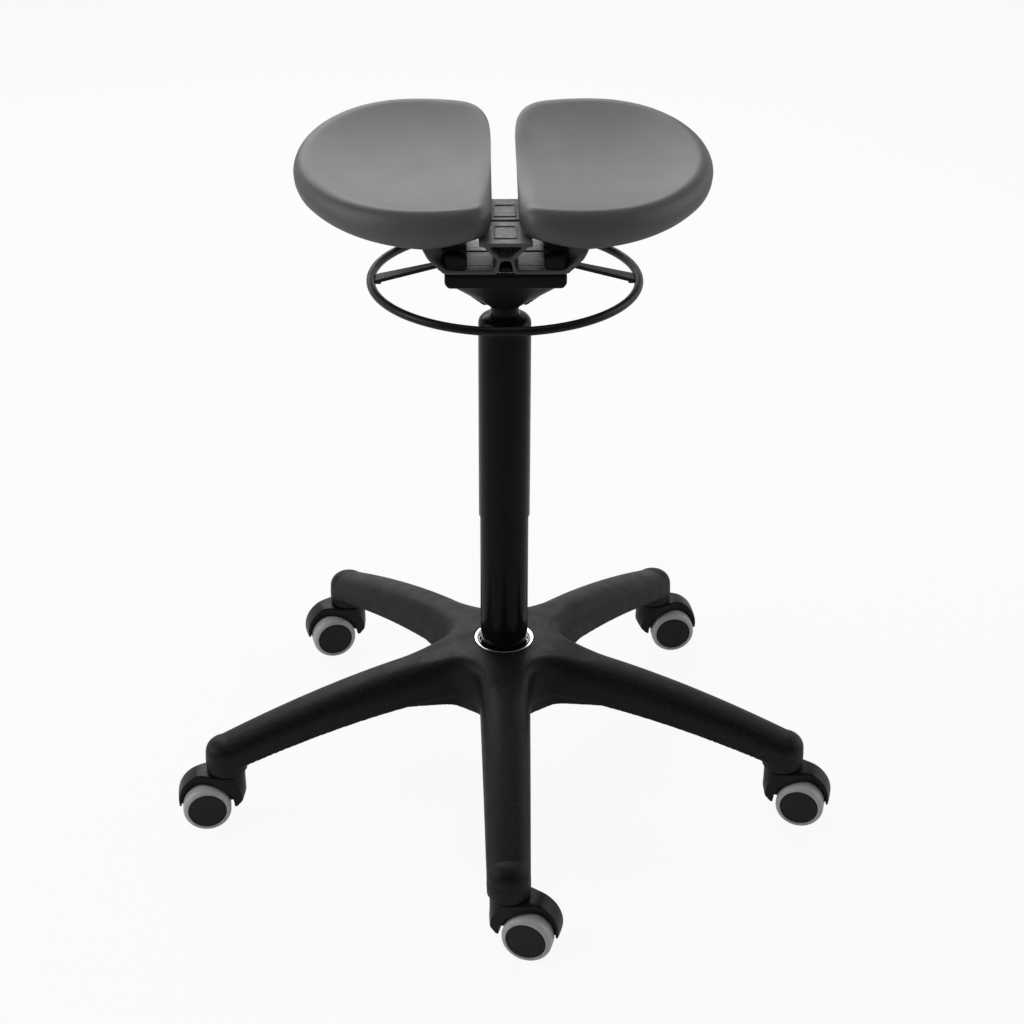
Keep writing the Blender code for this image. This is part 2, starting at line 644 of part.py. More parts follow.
def make_cover_tube():
    bore = COVER_R - COVER_WALL
    hole = CYLINDER_R + FIT_GAP
    shoulder = arc(COVER_R - COVER_SHOULDER, COVER_TOP_Z - COVER_SHOULDER, COVER_SHOULDER, 0, 90, 3)
    lid = COVER_TOP_Z - COVER_LID
    profile = [(bore, COVER_BOTTOM_Z), (COVER_R - COVER_WALL / 2, COVER_BOTTOM_Z),
               (COVER_R, COVER_BOTTOM_Z + COVER_WALL)] + shoulder
    profile += [(hole, COVER_TOP_Z), (hole, lid), (bore - COVER_SHOULDER / 2, lid),
                (bore, lid - COVER_SHOULDER)]
    add_object("cover_tube", turned(profile, COLUMN_FACETS), BLACK_PAINT, smooth=40)


# Seat mechanism

def housing_outline():
    """Front view of the box, lower corners chamfered, as (x, z)."""
    x, low, high, bevel = HOUSING_HALF_X, HOUSING_BOTTOM_Z, HOUSING_TOP_Z, HOUSING_CHAMFER
    return [(-x + bevel, low), (x - bevel, low), (x, low + bevel), (x, high), (-x, high),
            (-x, low + bevel)]


def funnel_sections():
    """From the round neck up to the rectangle under the box."""
    steps = COLUMN_FACETS
    neck, top = [], []
    for step in range(steps):
        angle = tau * step / steps
        across, along = cos(angle), sin(angle)
        neck.append((NECK_R * across, NECK_R * along))
        stretch = max(abs(across), abs(along))
        top.append((FUNNEL_HALF_X * across / stretch, FUNNEL_HALF_Y * along / stretch))
    low = COVER_TOP_Z + FIT_GAP
    overlap = HOUSING_BOTTOM_Z + FUNNEL_OVERLAP
    return [[(x, y, low) for x, y in neck], [(x, y, NECK_TOP_Z) for x, y in neck],
            [(x, y, overlap) for x, y in top]]


def make_housing():
    housing = add_object("mechanism_housing",
                         front_prism(housing_outline(), -HOUSING_HALF_Y, HOUSING_HALF_Y),
                         BLACK_PAINT, smooth=30)
    join(housing, add_object("funnel", lofted(funnel_sections())))
    above = HOUSING_TOP_Z + HOUSING_CHAMFER
    cut(housing, add_object("lever_pocket", block((-POCKET_HALF_X, -POCKET_HALF_Y, POCKET_FLOOR_Z),
                                                  (POCKET_HALF_X, POCKET_HALF_Y, above))))
    taper_low = CYLINDER_TOP_Z - CYLINDER_TAPER
    below = COVER_TOP_Z - COVER_LID
    taper = [(0, below), (CYLINDER_R + FIT_GAP, below), (CYLINDER_R + FIT_GAP, taper_low),
             (CYLINDER_TIP_R + FIT_GAP, CYLINDER_TOP_Z + FIT_GAP),
             (CYLINDER_TIP_R + FIT_GAP, above), (0, above)]
    cut(housing, add_object("taper_socket", turned(taper, COLUMN_FACETS, closed=False)))
    pin_hole = rod(LEVER_PIN_D / 2 + FIT_GAP, -HOUSING_HALF_X * 2, HOUSING_HALF_X * 2,
                   SMALL_FACETS, axis="X", centre=(0, LEVER_PIN_Y, LEVER_PIN_Z))
    cut(housing, add_object("pin_holes", pin_hole))
    slot_half = SPOKE_ROOT_HALF + SPOKE_SIDE_GAP
    reach = abs(LEVER_PIN_Y) + slot_half
    drop = reach * sin(LEVER_SWING)
    slope = (SPOKE_ROOT_Z - RING_Z) / (RING_R - SPOKE_BEND_X)
    spoke_low = SPOKE_ROOT_Z - SPOKE_THICK - (HOUSING_HALF_X - SPOKE_BEND_X) * slope
    slot_low = spoke_low - drop - RUNNING_GAP
    slot_high = SPOKE_ROOT_Z + 2 * RUNNING_GAP
    cut(housing, add_object("spoke_slots", block((-HOUSING_HALF_X * 2, -slot_half, slot_low),
                                                 (HOUSING_HALF_X * 2, slot_half, slot_high))))
    holes = [rod(SCREW_R + FIT_GAP, HOUSING_TOP_Z - SCREW_IN_HOUSING - FIT_GAP, above,
                 SMALL_FACETS, centre=(x, y, 0)) for _, x, y in mount_points()]
    cut(housing, add_object("housing_screw_holes", joined(holes)))


def corners(x, y):
    """Four like points, one in each quarter, with the words that tell them apart."""
    return [(f"{end_name}_{side_name}", side * x, end * y)
            for end_name, end in (("front", -1), ("rear", 1))
            for side_name, side in (("left", -1), ("right", 1))]


def mount_points():
    return corners(MOUNT_X, MOUNT_Y)


def make_mounting_plate():
    plate = add_object("mounting_plate", block((-PLATE_HALF_X, -PLATE_HALF_Y, PLATE_BOTTOM_Z),
                                               (PLATE_HALF_X, PLATE_HALF_Y, PLATE_TOP_Z)),
                       BRIGHT_STEEL)
    holes = [rod(SCREW_R + FIT_GAP, HOUSING_BOTTOM_Z, WING_TOP_Z, SMALL_FACETS,
                 centre=(x, y, 0)) for _, x, y in mount_points()]
    cut(plate, add_object("plate_screw_holes", joined(holes)))
    seam = block((-PLATE_HALF_X * 2, -PLATE_SEAM / 2, PLATE_TOP_Z - PLATE_SEAM_DEPTH),
                 (PLATE_HALF_X * 2, PLATE_SEAM / 2, PLATE_TOP_Z + MOUNTING_PLATE))
    cut(plate, add_object("plate_seam", seam))


def make_release_ring():
    ring = bmesh.new()
    loops = []
    for step in range(RING_FACETS):
        angle = tau * step / RING_FACETS
        loop = []
        for turn in range(RING_ROD_FACETS):
            spin = tau * (turn + 0.5) / RING_ROD_FACETS
            radius = RING_R + RING_ROD_D / 2 * cos(spin)
            height = RING_Z + RING_ROD_D / 2 * sin(spin)
            loop.append(ring.verts.new((radius * cos(angle), radius * sin(angle), height)))
        loops.append(loop)
    for step in range(RING_FACETS):
        here, after = loops[step], loops[(step + 1) % RING_FACETS]
        for turn in range(RING_ROD_FACETS):
            beside = (turn + 1) % RING_ROD_FACETS
            ring.faces.new([here[turn], after[turn], after[beside], here[beside]])
    ring = add_object("release_ring", ring, RING_METAL, smooth=60)
    for side in (-1, 1):
        sections = []
        for x, half, top in ((SPOKE_ROOT_X, SPOKE_ROOT_HALF, SPOKE_ROOT_Z),
                             (SPOKE_BEND_X, SPOKE_ROOT_HALF, SPOKE_ROOT_Z),
                             (RING_R, SPOKE_TIP_HALF, RING_Z + SPOKE_THICK / 2)):
            low = top - SPOKE_THICK
            sections.append([(side * x, -half, low), (side * x, half, low),
                             (side * x, half, top), (side * x, -half, top)])
        join(ring, add_object(f"spoke_{side}", lofted(sections)))


def make_lever():
    plate = add_object("lever_plate", block((-LEVER_HALF_X, LEVER_PIN_Y, LEVER_PLATE_BOTTOM_Z),
                                            (LEVER_HALF_X, LEVER_BACK_Y, LEVER_PLATE_TOP_Z)),
                       BRIGHT_STEEL)
    for side in (-1, 1):
        outer = side * LEVER_HALF_X
        inner = side * (LEVER_HALF_X - LEVER_LUG_WIDTH)
        lug = rod(LEVER_LUG_R, min(inner, outer), max(inner, outer), SMALL_FACETS, axis="X",
                  centre=(0, LEVER_PIN_Y, LEVER_PIN_Z))
        join(plate, add_object(f"lever_lug_{side}", lug))
    bore = rod(LEVER_PIN_D / 2 + FIT_GAP, -LEVER_HALF_X * 2, LEVER_HALF_X * 2, SMALL_FACETS,
               axis="X", centre=(0, LEVER_PIN_Y, LEVER_PIN_Z))
    cut(plate, add_object("lever_bore", bore))
    pin = rod(LEVER_PIN_D / 2, -HOUSING_HALF_X, HOUSING_HALF_X, SMALL_FACETS, axis="X",
              centre=(0, LEVER_PIN_Y, LEVER_PIN_Z))
    add_object("lever_pin", pin, BRIGHT_STEEL, smooth=30)


# Seat carriers

def wall_outline(path, thickness):
    """Give an open (x, z) path a thickness, with mitred corners."""
    points = [Vector(point) for point in path]
    left, right = [], []
    for index, point in enumerate(points):
        before = points[max(index - 1, 0)]
        after = points[min(index + 1, len(points) - 1)]
        into = (point - before).normalized() if index else (after - point).normalized()
        out = (after - point).normalized() if index < len(points) - 1 else into
        normal = Vector((-(into + out).y, (into + out).x)).normalized()
        reach = thickness / 2 / max(normal.dot(Vector((-into.y, into.x))), MITRE_LIMIT)
        left.append(point + normal * reach)
        right.append(point - normal * reach)
    return [tuple(point) for point in left + right[::-1]]


def carrier_path(side):
    """Middle line of one side wall: wing, slope, floor, leg and bowl."""
    half = CARRIER_WALL / 2
    floor = CARRIER_FLOOR_Z + half
    path = [(WING_TIP_X, WING_TOP_Z - half), (WING_ROOT_X, WING_TOP_Z - half),
            (CARRIER_FLOOR_X + half, floor + half), (CARRIER_FLOOR_X - half, floor),
            (CARRIER_LEG_X + half, floor), (CARRIER_LEG_X, floor + half),
            (BOWL_BOTTOM_X, BOWL_BOTTOM_Z), (BOWL_SIDE_X, BOWL_SIDE_Z),
            (CENTRE_PLATE_HALF_X - half, CENTRE_PLATE_TOP_Z - CENTRE_PLATE_THICK / 2)]
    return [(side * x, z) for x, z in path]


def make_carrier(name, end):
    """One seat carrier; end is -1 for the front one and 1 for the rear one."""
    near, far = end * CARRIER_GAP / 2, end * CARRIER_HALF_Y
    low_y, high_y = min(near, far), max(near, far)
    centre_low = CENTRE_PLATE_TOP_Z - CENTRE_PLATE_THICK
    x = CENTRE_PLATE_HALF_X
    plate_outline = [(-x, centre_low), (x, centre_low), (x, CENTRE_PLATE_TOP_Z),
                     (-x, CENTRE_PLATE_TOP_Z)]
    carrier = add_object(name, front_prism(plate_outline, low_y, high_y), CARRIER_METAL, smooth=30)
    for side in (-1, 1):
        wall = front_prism(wall_outline(carrier_path(side), CARRIER_WALL), low_y, high_y)
        join(carrier, add_object(f"{name}_wall_{side}", wall))
    bridge = block((-BOWL_BOTTOM_X, low_y, BOWL_BOTTOM_Z - CARRIER_WALL / 2),
                   (BOWL_BOTTOM_X, high_y, BOWL_BOTTOM_Z + CARRIER_WALL / 2))
    join(carrier, add_object(f"{name}_bridge", bridge))
    corner_y = sorted((end * WING_HALF_Y, end * CARRIER_HALF_Y * 2))
    for side in (-1, 1):
        for part, inner_x, low in (("tip", WING_ROOT_X, WING_BOTTOM_Z - WING_THICK),
                                   ("top", CARRIER_FLOOR_X, PAD_RIM_Z - PAD_CLEARANCE)):
            corner_x = sorted((side * inner_x, side * WING_TIP_X * 2))
            corner = block((corner_x[0], corner_y[0], low),
                           (corner_x[1], corner_y[1], WING_TOP_Z + WING_THICK))
            cut(carrier, add_object(f"{name}_wing_{part}_{side}", corner))
    windows = []
    inside = CARRIER_LEG_X + CARRIER_WALL
    rim = end * (CARRIER_HALF_Y - WINDOW_RIM)
    opening_y = sorted((rim, -end * CARRIER_HALF_Y))
    for side in (-1, 1):
        span = sorted((side * inside, side * WINDOW_OUTER_X))
        windows.append(block((span[0], opening_y[0], CARRIER_FLOOR_Z - CARRIER_WALL),
                             (span[1], opening_y[1], CARRIER_FLOOR_Z + CARRIER_WALL + RUNNING_GAP)))
    cut(carrier, add_object(f"{name}_windows", joined(windows)))
    holes = []
    for _, hole_x, hole_y in mount_points():
        if hole_y * end > 0:
            holes.append(rod(SCREW_R + FIT_GAP, HOUSING_TOP_Z, MOUNT_TOP_Z, SMALL_FACETS,
                             centre=(hole_x, hole_y, 0)))
    for _, hole_x, hole_y in seat_screw_points():
        if hole_y * end > 0:
            holes.append(rod(SEAT_SCREW_D / 2 + FIT_GAP, WING_BOTTOM_Z - WING_THICK,
                             WING_TOP_Z + WING_THICK, SMALL_FACETS, centre=(hole_x, hole_y, 0)))
    cut(carrier, add_object(f"{name}_screw_holes", joined(holes)))


def seat_screw_points():
    return corners(SEAT_SCREW_X, SEAT_SCREW_Y)


def make_rubber_mounts():
    """Rubber bobbins on the carriers' floors, each with its screw."""
    low = CARRIER_FLOOR_Z + CARRIER_WALL + FIT_GAP
    counterbore_z = MOUNT_TOP_Z - MOUNT_COUNTERBORE
    for corner, x, y in mount_points():
        side, end = (1 if x > 0 else -1), (1 if y > 0 else -1)
        xs = sorted((side * (WINDOW_OUTER_X + FIT_GAP), side * MOUNT_PAD_OUTER_X))
        ys = sorted((end * MOUNT_PAD_INNER_Y, end * (CARRIER_HALF_Y - MOUNT_PAD_SETBACK)))
        pad = block((xs[0], ys[0], low), (xs[1], ys[1], low + MOUNT_PAD_THICK))
        mount = add_object(f"{corner}_rubber_mount", pad, RUBBER, smooth=30)
        body_low = low + MOUNT_PAD_THICK - RUNNING_GAP
        body = rod(MOUNT_R, body_low, MOUNT_TOP_Z, BOSS_FACETS, centre=(x, y, 0))
        join(mount, add_object(f"{corner}_mount_body", body))
        bore = [(0, HOUSING_BOTTOM_Z), (SCREW_R + FIT_GAP, HOUSING_BOTTOM_Z),
                (SCREW_R + FIT_GAP, counterbore_z), (SCREW_HEAD_R + FIT_GAP, counterbore_z),
                (SCREW_HEAD_R + FIT_GAP, WING_TOP_Z), (0, WING_TOP_Z)]
        bore = turned(bore, SMALL_FACETS, closed=False, centre=(x, y, 0))
        cut(mount, add_object(f"{corner}_mount_bore", bore))


def make_carrier_screws():
    head_low = MOUNT_TOP_Z - MOUNT_COUNTERBORE + FIT_GAP
    head_top = head_low + SCREW_HEAD
    floor = head_top - SCREW_SOCKET_DEPTH
    low = HOUSING_TOP_Z - SCREW_IN_HOUSING
    profile = [(0, low), (SCREW_R, low), (SCREW_R, head_low), (SCREW_HEAD_R, head_low),
               (SCREW_HEAD_R, head_top), (SCREW_SOCKET_R, head_top), (SCREW_SOCKET_R, floor),
               (0, floor)]
    for corner, x, y in mount_points():
        add_object(f"{corner}_carrier_screw", turned(profile, SMALL_FACETS, closed=False),
                   BRIGHT_STEEL, at=(x, y, 0), smooth=30)


def make_seat_screws():
    head_top = WING_BOTTOM_Z - FIT_GAP
    profile = [(0, head_top - SEAT_SCREW_HEAD), (SEAT_SCREW_HEAD_R, head_top - SEAT_SCREW_HEAD),
               (SEAT_SCREW_HEAD_R, head_top), (SEAT_SCREW_D / 2, head_top),
               (SEAT_SCREW_D / 2, SHELL_BOTTOM_Z + SEAT_SCREW_IN_SHELL),
               (0, SHELL_BOTTOM_Z + SEAT_SCREW_IN_SHELL)]
    for corner, x, y in seat_screw_points():
        add_object(f"{corner}_seat_screw", turned(profile, SMALL_FACETS, closed=False),
                   BRIGHT_STEEL, at=(x, y, 0), smooth=30)


# Seat

def pad_outline():
    """Closed smooth curve through the outline's points, for the half at +X."""
    points = [Vector(point) for point in PAD_OUTLINE]
    count = len(points)
    curve = []
    for index in range(count):
        before, start = points[index - 1], points[index]
        end, after = points[(index + 1) % count], points[(index + 2) % count]
        for step in range(PAD_OUTLINE_STEPS):
            t = step / PAD_OUTLINE_STEPS
            curve.append(0.5 * (2 * start + (end - before) * t
                                + (2 * before - 5 * start + 4 * end - after) * t ** 2
                                + (3 * start - before - 3 * end + after) * t ** 3))
    return curve


def pad_middle():
    curve = pad_outline()
    return sum(curve, Vector((0, 0))) / len(curve)


def inset_outline(distance):
    """Move the outline in by a distance, each point towards the middle of the pad."""
    curve = pad_outline()
    middle = pad_middle()
    moved = []
    for index, point in enumerate(curve):
        along = (curve[(index + 1) % len(curve)] - curve[index - 1]).normalized()
        inward = Vector((along.y, -along.x))
        ray = (middle - point).normalized()
        moved.append(point + ray * distance / max(ray.dot(inward), INSET_LIMIT))
    return moved


def pad_top(x, y):
    back = min(max((y - PAD_DISH_Y) / PAD_BACK_REACH, 0.0), PAD_SLOPE_LIMIT)
    front = min(max((PAD_DISH_Y - y) / PAD_FRONT_REACH, 0.0), PAD_SLOPE_LIMIT)
    side = (x - PAD_DISH_X) / PAD_SIDE_REACH
    return (PAD_DISH_Z + PAD_BACK_RISE * back ** PAD_BACK_POWER
            + PAD_FRONT_RISE * front ** 2 + PAD_SIDE_RISE * side ** 2)


def pad_under(y):
    """Underside over and behind the shell."""
    share = max((y - SHELL_BACK_Y) / (PAD_UNDER_BACK_Y - SHELL_BACK_Y), 0.0)
    return SHELL_TOP_Z + FIT_GAP + PAD_UNDER_BACK_RISE * share


def pad_edge(x, y):
    """Height of the edge line that runs round the pad."""
    low, high = PAD_INNER_RIM_X
    share = min(max((x - low) / (high - low), 0.0), 1.0)
    blend = share * share * (3 - 2 * share)
    rim = PAD_INNER_RIM_Z + (PAD_RIM_Z - PAD_INNER_RIM_Z) * blend
    along = min(max((y - PAD_FRONT_Y) / PAD_DEPTH, 0.0), 1.0)
    return rim + PAD_EDGE_HEIGHT + PAD_RIM_RISE * along ** PAD_RIM_POWER


def pad_rim(x, y):
    return min(pad_edge(x, y) - PAD_EDGE_HEIGHT, pad_under(y))


def pad_rings():
    """Rings of points from the middle of the underside round to the middle of the top."""
    outline = pad_outline()
    middle = pad_middle()
    recess = inset_outline(PAD_RECESS_INSET)
    rings = [[(x, y, pad_under(y)) for x, y in recess]]
    for inset in (PAD_RIM_WIDTH, PAD_UNDER_ROLL):
        ring = []
        for (x, y), (rim_x, rim_y) in zip(inset_outline(inset), outline):
            ring.append((x, y, pad_rim(rim_x, rim_y)))
        rings.append(ring)
    for share in PAD_UNDER_SHARES:
        ring = []
        for (x, y), (edge_x, edge_y) in zip(inset_outline(PAD_UNDER_ROLL * share), outline):
            edge, rim = pad_edge(edge_x, edge_y), pad_rim(edge_x, edge_y)
            drop = (1 - (1 - share) ** 2) ** 0.5
            ring.append((x, y, edge - (edge - rim) * drop))
        rings.append(ring)
    for share in PAD_ROLL_SHARES:
        ring = []
        for (x, y), (edge_x, edge_y) in zip(inset_outline(PAD_ROLL * share), outline):
            edge = pad_edge(edge_x, edge_y)
            rise = (1 - (1 - share) ** 2) ** 0.5
            ring.append((x, y, edge + (pad_top(x, y) - edge) * rise))
        rings.append(ring)
    top = inset_outline(PAD_ROLL)
    for scale in PAD_TOP_SCALES:
        ring = []
        for point in top:
            x, y = middle + (point - middle) * scale
            ring.append((x, y, pad_top(x, y)))
        rings.append(ring)
    return rings, middle


def make_seat_pad(name, side):
    shape = bmesh.new()
    rings, middle = pad_rings()
    loops = [[shape.verts.new((side * x, y, z)) for x, y, z in ring] for ring in rings]
    count = len(loops[0])
    for low, high in zip(loops, loops[1:]):
        for step in range(count):
            after = (step + 1) % count
            shape.faces.new([low[step], low[after], high[after], high[step]])
    under = shape.verts.new((side * middle.x, middle.y, pad_under(middle.y)))
    top = shape.verts.new((side * middle.x, middle.y, pad_top(middle.x, middle.y)))
    for centre, loop in ((under, loops[0]), (top, loops[-1])):
        for step in range(count):
            shape.faces.new([centre, loop[step], loop[(step + 1) % count]])
    add_object(name, shape, SEAT_FOAM, smooth=60)


def make_seat_shell(name, side):
    outline = [(side * x, min(y, SHELL_BACK_Y)) for x, y in inset_outline(SHELL_INSET)]
    clean = [point for index, point in enumerate(outline)
             if (Vector(point) - Vector(outline[index - 1])).length > 1e-5
             and not (point[1] == outline[index - 1][1] == outline[(index + 1) % len(outline)][1])]
    plate = lofted([[(x, y, z) for x, y in clean] for z in (SHELL_BOTTOM_Z, SHELL_TOP_Z)])
    shell = add_object(name, plate, SHELL_PLASTIC, smooth=30)
    places = [(x, y) for _, x, y in seat_screw_points() if x * side > 0]
    bosses = [block((x - SHELL_BOSS_HALF_X, y - SHELL_BOSS_HALF_Y, WING_TOP_Z + FIT_GAP),
                    (x + SHELL_BOSS_HALF_X, y + SHELL_BOSS_HALF_Y, SHELL_BOTTOM_Z + SHELL_THICK / 2))
              for x, y in places]
    join(shell, add_object(f"{name}_bosses", joined(bosses)))
    holes = [rod(SEAT_SCREW_D / 2 + FIT_GAP, WING_BOTTOM_Z,
                 SHELL_BOTTOM_Z + SEAT_SCREW_IN_SHELL + FIT_GAP, SMALL_FACETS, centre=(x, y, 0))
             for x, y in places]
    cut(shell, add_object(f"{name}_holes", joined(holes)))


# Casters

def make_wheel(name, side, **place):
    """Hard core with the tread moulded on; the profile's height runs along the axle."""
    outer, inner = WHEEL_OUTER_Y, WHEEL_INNER_Y
    corner_r = WHEEL_R / cos(pi / WHEEL_FACETS)
    bore = AXLE_D / 2 + FIT_GAP
    floor = AXLE_HALF_LENGTH + FIT_GAP
    disc = outer - HUB_RECESS
    tread = [(corner_r, inner)]
    tread += arc(corner_r - TREAD_SHOULDER, outer - TREAD_SHOULDER, TREAD_SHOULDER, 0, 90, 2)
    core = [(HUB_DISC_R, outer), (HUB_DISC_R, disc), (0, disc)]
    profile = [(0, floor), (bore, floor), (bore, inner)] + tread + core
    profile = [(radius, side * height) for radius, height in profile]
    shape = turned(profile, WHEEL_FACETS, closed=False, axis="Y", phase=0.5)
    wheel = add_object(name, shape, HUB_PLASTIC, smooth=50, **place)
    wheel.data.materials.append(new_material(name, TREAD_RUBBER))
    for face in wheel.data.polygons:
        if hypot(face.center.x, face.center.z) > HUB_DISC_R:
            face.material_index = 1


def hood_barrel():
    """Barrel round the axle, fullest in the middle."""
    profile = [(0, -HOOD_HALF_WIDTH)]
    for step in range(HOOD_STEPS + 1):
        along = -1 + 2 * step / HOOD_STEPS
        radius = HOOD_R - (HOOD_R - HOOD_RIM_R) * along ** 2
        profile.append((radius, along * HOOD_HALF_WIDTH))
    profile.append((0, HOOD_HALF_WIDTH))
    return turned(profile, HOOD_FACETS, closed=False, axis="Y")


def make_hood(name, **place):
    """Hood with its neck under the leg boss."""
    hood = add_object(name, hood_barrel(), BLACK_NYLON, smooth=40, **place)
    bottom = -HOOD_BELOW_AXLE
    neck = rod(NECK_D / 2, bottom, HOOD_TOP_Z - AXLE_Z, BOSS_FACETS, centre=(-CASTER_TRAIL, 0, 0))
    join(hood, add_object(name + "_neck", neck, **place))
    wide = 2 * HOOD_R
    cut(hood, add_object(name + "_trim", block((-wide, -wide, -wide), (wide, wide, bottom)), **place))
    cavity_r = WHEEL_R + WHEEL_CLEARANCE
    cavities = []
    for side in (-1, 1):
        span = sorted((side * (WEB_HALF + FIT_GAP), side * wide))
        cavities.append(rod(cavity_r, span[0], span[1], HOOD_FACETS, axis="Y"))
    cut(hood, add_object(name + "_cavities", joined(cavities), **place))
    boss = rod(AXLE_BOSS_R, -WEB_HALF, WEB_HALF, SMALL_FACETS, axis="Y")
    join(hood, add_object(name + "_boss", boss, **place))
    bore = rod(AXLE_D / 2 + FIT_GAP, -wide, wide, SMALL_FACETS, axis="Y")
    cut(hood, add_object(name + "_axle_bore", bore, **place))
    stem_hole = rod(STEM_D / 2 + FIT_GAP, HOOD_TOP_Z - AXLE_Z - STEM_IN_HOOD - FIT_GAP, wide,
                    SMALL_FACETS, centre=(-CASTER_TRAIL, 0, 0))
    cut(hood, add_object(name + "_stem_hole", stem_hole, **place))


def make_caster(index):
    """One twin-wheel caster; the swivel's local x axis runs along its trail."""
    label = CASTER_NAMES[index] + "_caster"
    leg_angle = FRONT_LEG_ANGLE + tau * index / LEG_COUNT
    stem_at = (CASTER_CIRCLE_R * cos(leg_angle), CASTER_CIRCLE_R * sin(leg_angle), 0)
    swivel = add_pivot(f"{label}_swivel", stem_at, CASTER_TURNS[index])
    place = {"at": (CASTER_TRAIL, 0, AXLE_Z), "pivot": swivel}
    make_hood(f"{label}_hood", **place)
    axle = rod(AXLE_D / 2, -AXLE_HALF_LENGTH, AXLE_HALF_LENGTH, SMALL_FACETS, axis="Y")
    add_object(f"{label}_axle", axle, BRIGHT_STEEL, smooth=30, **place)
    for wheel, side in (("right", -1), ("left", 1)):
        make_wheel(f"{label}_{wheel}_wheel", side, **place)
    low = HOOD_TOP_Z - STEM_IN_HOOD
    high = LEG_BOSS_BOTTOM_Z + STEM_IN_LEG
    stem = [(0, low), (STEM_D / 2, low), (STEM_D / 2, high - STEM_CHAMFER),
            (STEM_D / 2 - STEM_CHAMFER, high), (0, high)]
    add_object(f"{label}_stem", turned(stem, SMALL_FACETS, closed=False), BRIGHT_STEEL,
               smooth=30, pivot=swivel)


def main():
    clear_scene()
    make_star_base()
    make_base_sleeve()
    make_stand_tube()
    make_guide_bush()
    make_piston_rod()
    make_gas_cylinder()
    make_cover_tube()
    make_housing()
    make_mounting_plate()
    make_release_ring()
    make_lever()
    make_carrier("front_carrier", -1)
    make_carrier("rear_carrier", 1)
    make_rubber_mounts()
    make_carrier_screws()
    make_seat_screws()
    make_seat_shell("seat_shell_left", -1)
    make_seat_shell("seat_shell_right", 1)
    make_seat_pad("seat_pad_left", -1)
    make_seat_pad("seat_pad_right", 1)
    for index in range(LEG_COUNT):
        make_caster(index)
    carry(add_pivot("lever_pivot", (0, LEVER_PIN_Y, LEVER_PIN_Z)), ("release_ring", "lever_plate"))


main()
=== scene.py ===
"""Looks of the work stool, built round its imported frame.

Metres, +Z up; the column's axis is x = y = 0 and the front leg points along -Y.
"""
import json
from math import cos, pi, radians, sin, tau

import bmesh
import bpy
import numpy as np
from mathutils import Matrix, Vector


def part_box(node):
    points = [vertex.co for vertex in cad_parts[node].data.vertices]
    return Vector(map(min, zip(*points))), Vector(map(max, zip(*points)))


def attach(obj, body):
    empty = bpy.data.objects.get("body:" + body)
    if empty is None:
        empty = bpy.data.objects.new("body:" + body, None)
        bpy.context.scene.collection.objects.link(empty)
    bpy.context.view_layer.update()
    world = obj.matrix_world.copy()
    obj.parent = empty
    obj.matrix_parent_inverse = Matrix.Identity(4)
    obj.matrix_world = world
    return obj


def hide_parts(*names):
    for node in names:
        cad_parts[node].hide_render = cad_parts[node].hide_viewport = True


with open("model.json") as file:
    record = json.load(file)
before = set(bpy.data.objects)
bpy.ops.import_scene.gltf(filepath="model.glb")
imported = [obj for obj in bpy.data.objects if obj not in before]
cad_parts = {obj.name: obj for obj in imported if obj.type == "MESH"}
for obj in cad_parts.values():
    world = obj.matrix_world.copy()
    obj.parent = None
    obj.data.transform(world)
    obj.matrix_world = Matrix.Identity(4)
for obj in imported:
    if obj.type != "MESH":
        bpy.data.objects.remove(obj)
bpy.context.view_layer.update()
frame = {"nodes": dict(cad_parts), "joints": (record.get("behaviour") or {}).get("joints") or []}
nodes = frame["nodes"]
joints = {joint["name"]: joint for joint in frame["joints"]}

MM = 0.001
ROUND_STEPS = 128
SHARP_ANGLE = radians(38)

# Camera, at the photograph's angle
CAMERA_AT = (-0.0326, -1.9505, 1.3634)
CAMERA_TURN = radians(-1.19)
CAMERA_PITCH = radians(28.314)
CAMERA_ROLL = radians(0.241)
CAMERA_LENS = 75.48
CAMERA_SENSOR = 36.0

# Star base
LEG_COUNT = 5
LEG_ROOT_R = 0.0400
LEG_TIP_R = 0.3060
LEG_ROOT_HALF = 0.0270
LEG_TIP_HALF = 0.0212
LEG_TOP_Z = (0.1585, 0.0985)
LEG_LOW_Z = (0.1168, 0.0686)
GUSSET_LOW_Z = 0.1000
GUSSET_END_R = 0.1200
GUSSET_SETBACK = 0.0014
LEG_TOP_POWER = 1.58
LEG_LOW_POWER = 1.78
LEG_CROWN_POWER = 2.4
LEG_CROWN_SHARE = 0.6
LEG_WALL = 0.0042
LEG_RIB_HALF = 0.0013
LEG_RIB_SHARES = (0.40, 0.72)
LEG_RIB_RECESS = 0.0050
BOSS_LOW_Z = 0.0620
STEM_SOCKET_DEPTH = 0.0243
HUB_TOP_Z = 0.1615
HUB_FLAT_R = 0.0420
HUB_BLEND_R = 0.0900
HUB_CORNER_U = 0.0746
HUB_EDGE_SHARE = 0.50
HUB_EDGE_R = (0.0640, 0.1150)
HUB_DISC_R = 0.0640
HUB_DISC_Z = (0.1035, 0.1450)
HUB_LOW_Z = 0.0985
HUB_CORE_R = 0.0400
HUB_BORE_R = 0.0286
HUB_MOUTH_R = 0.0316
HUB_MOUTH_Z = 0.1505

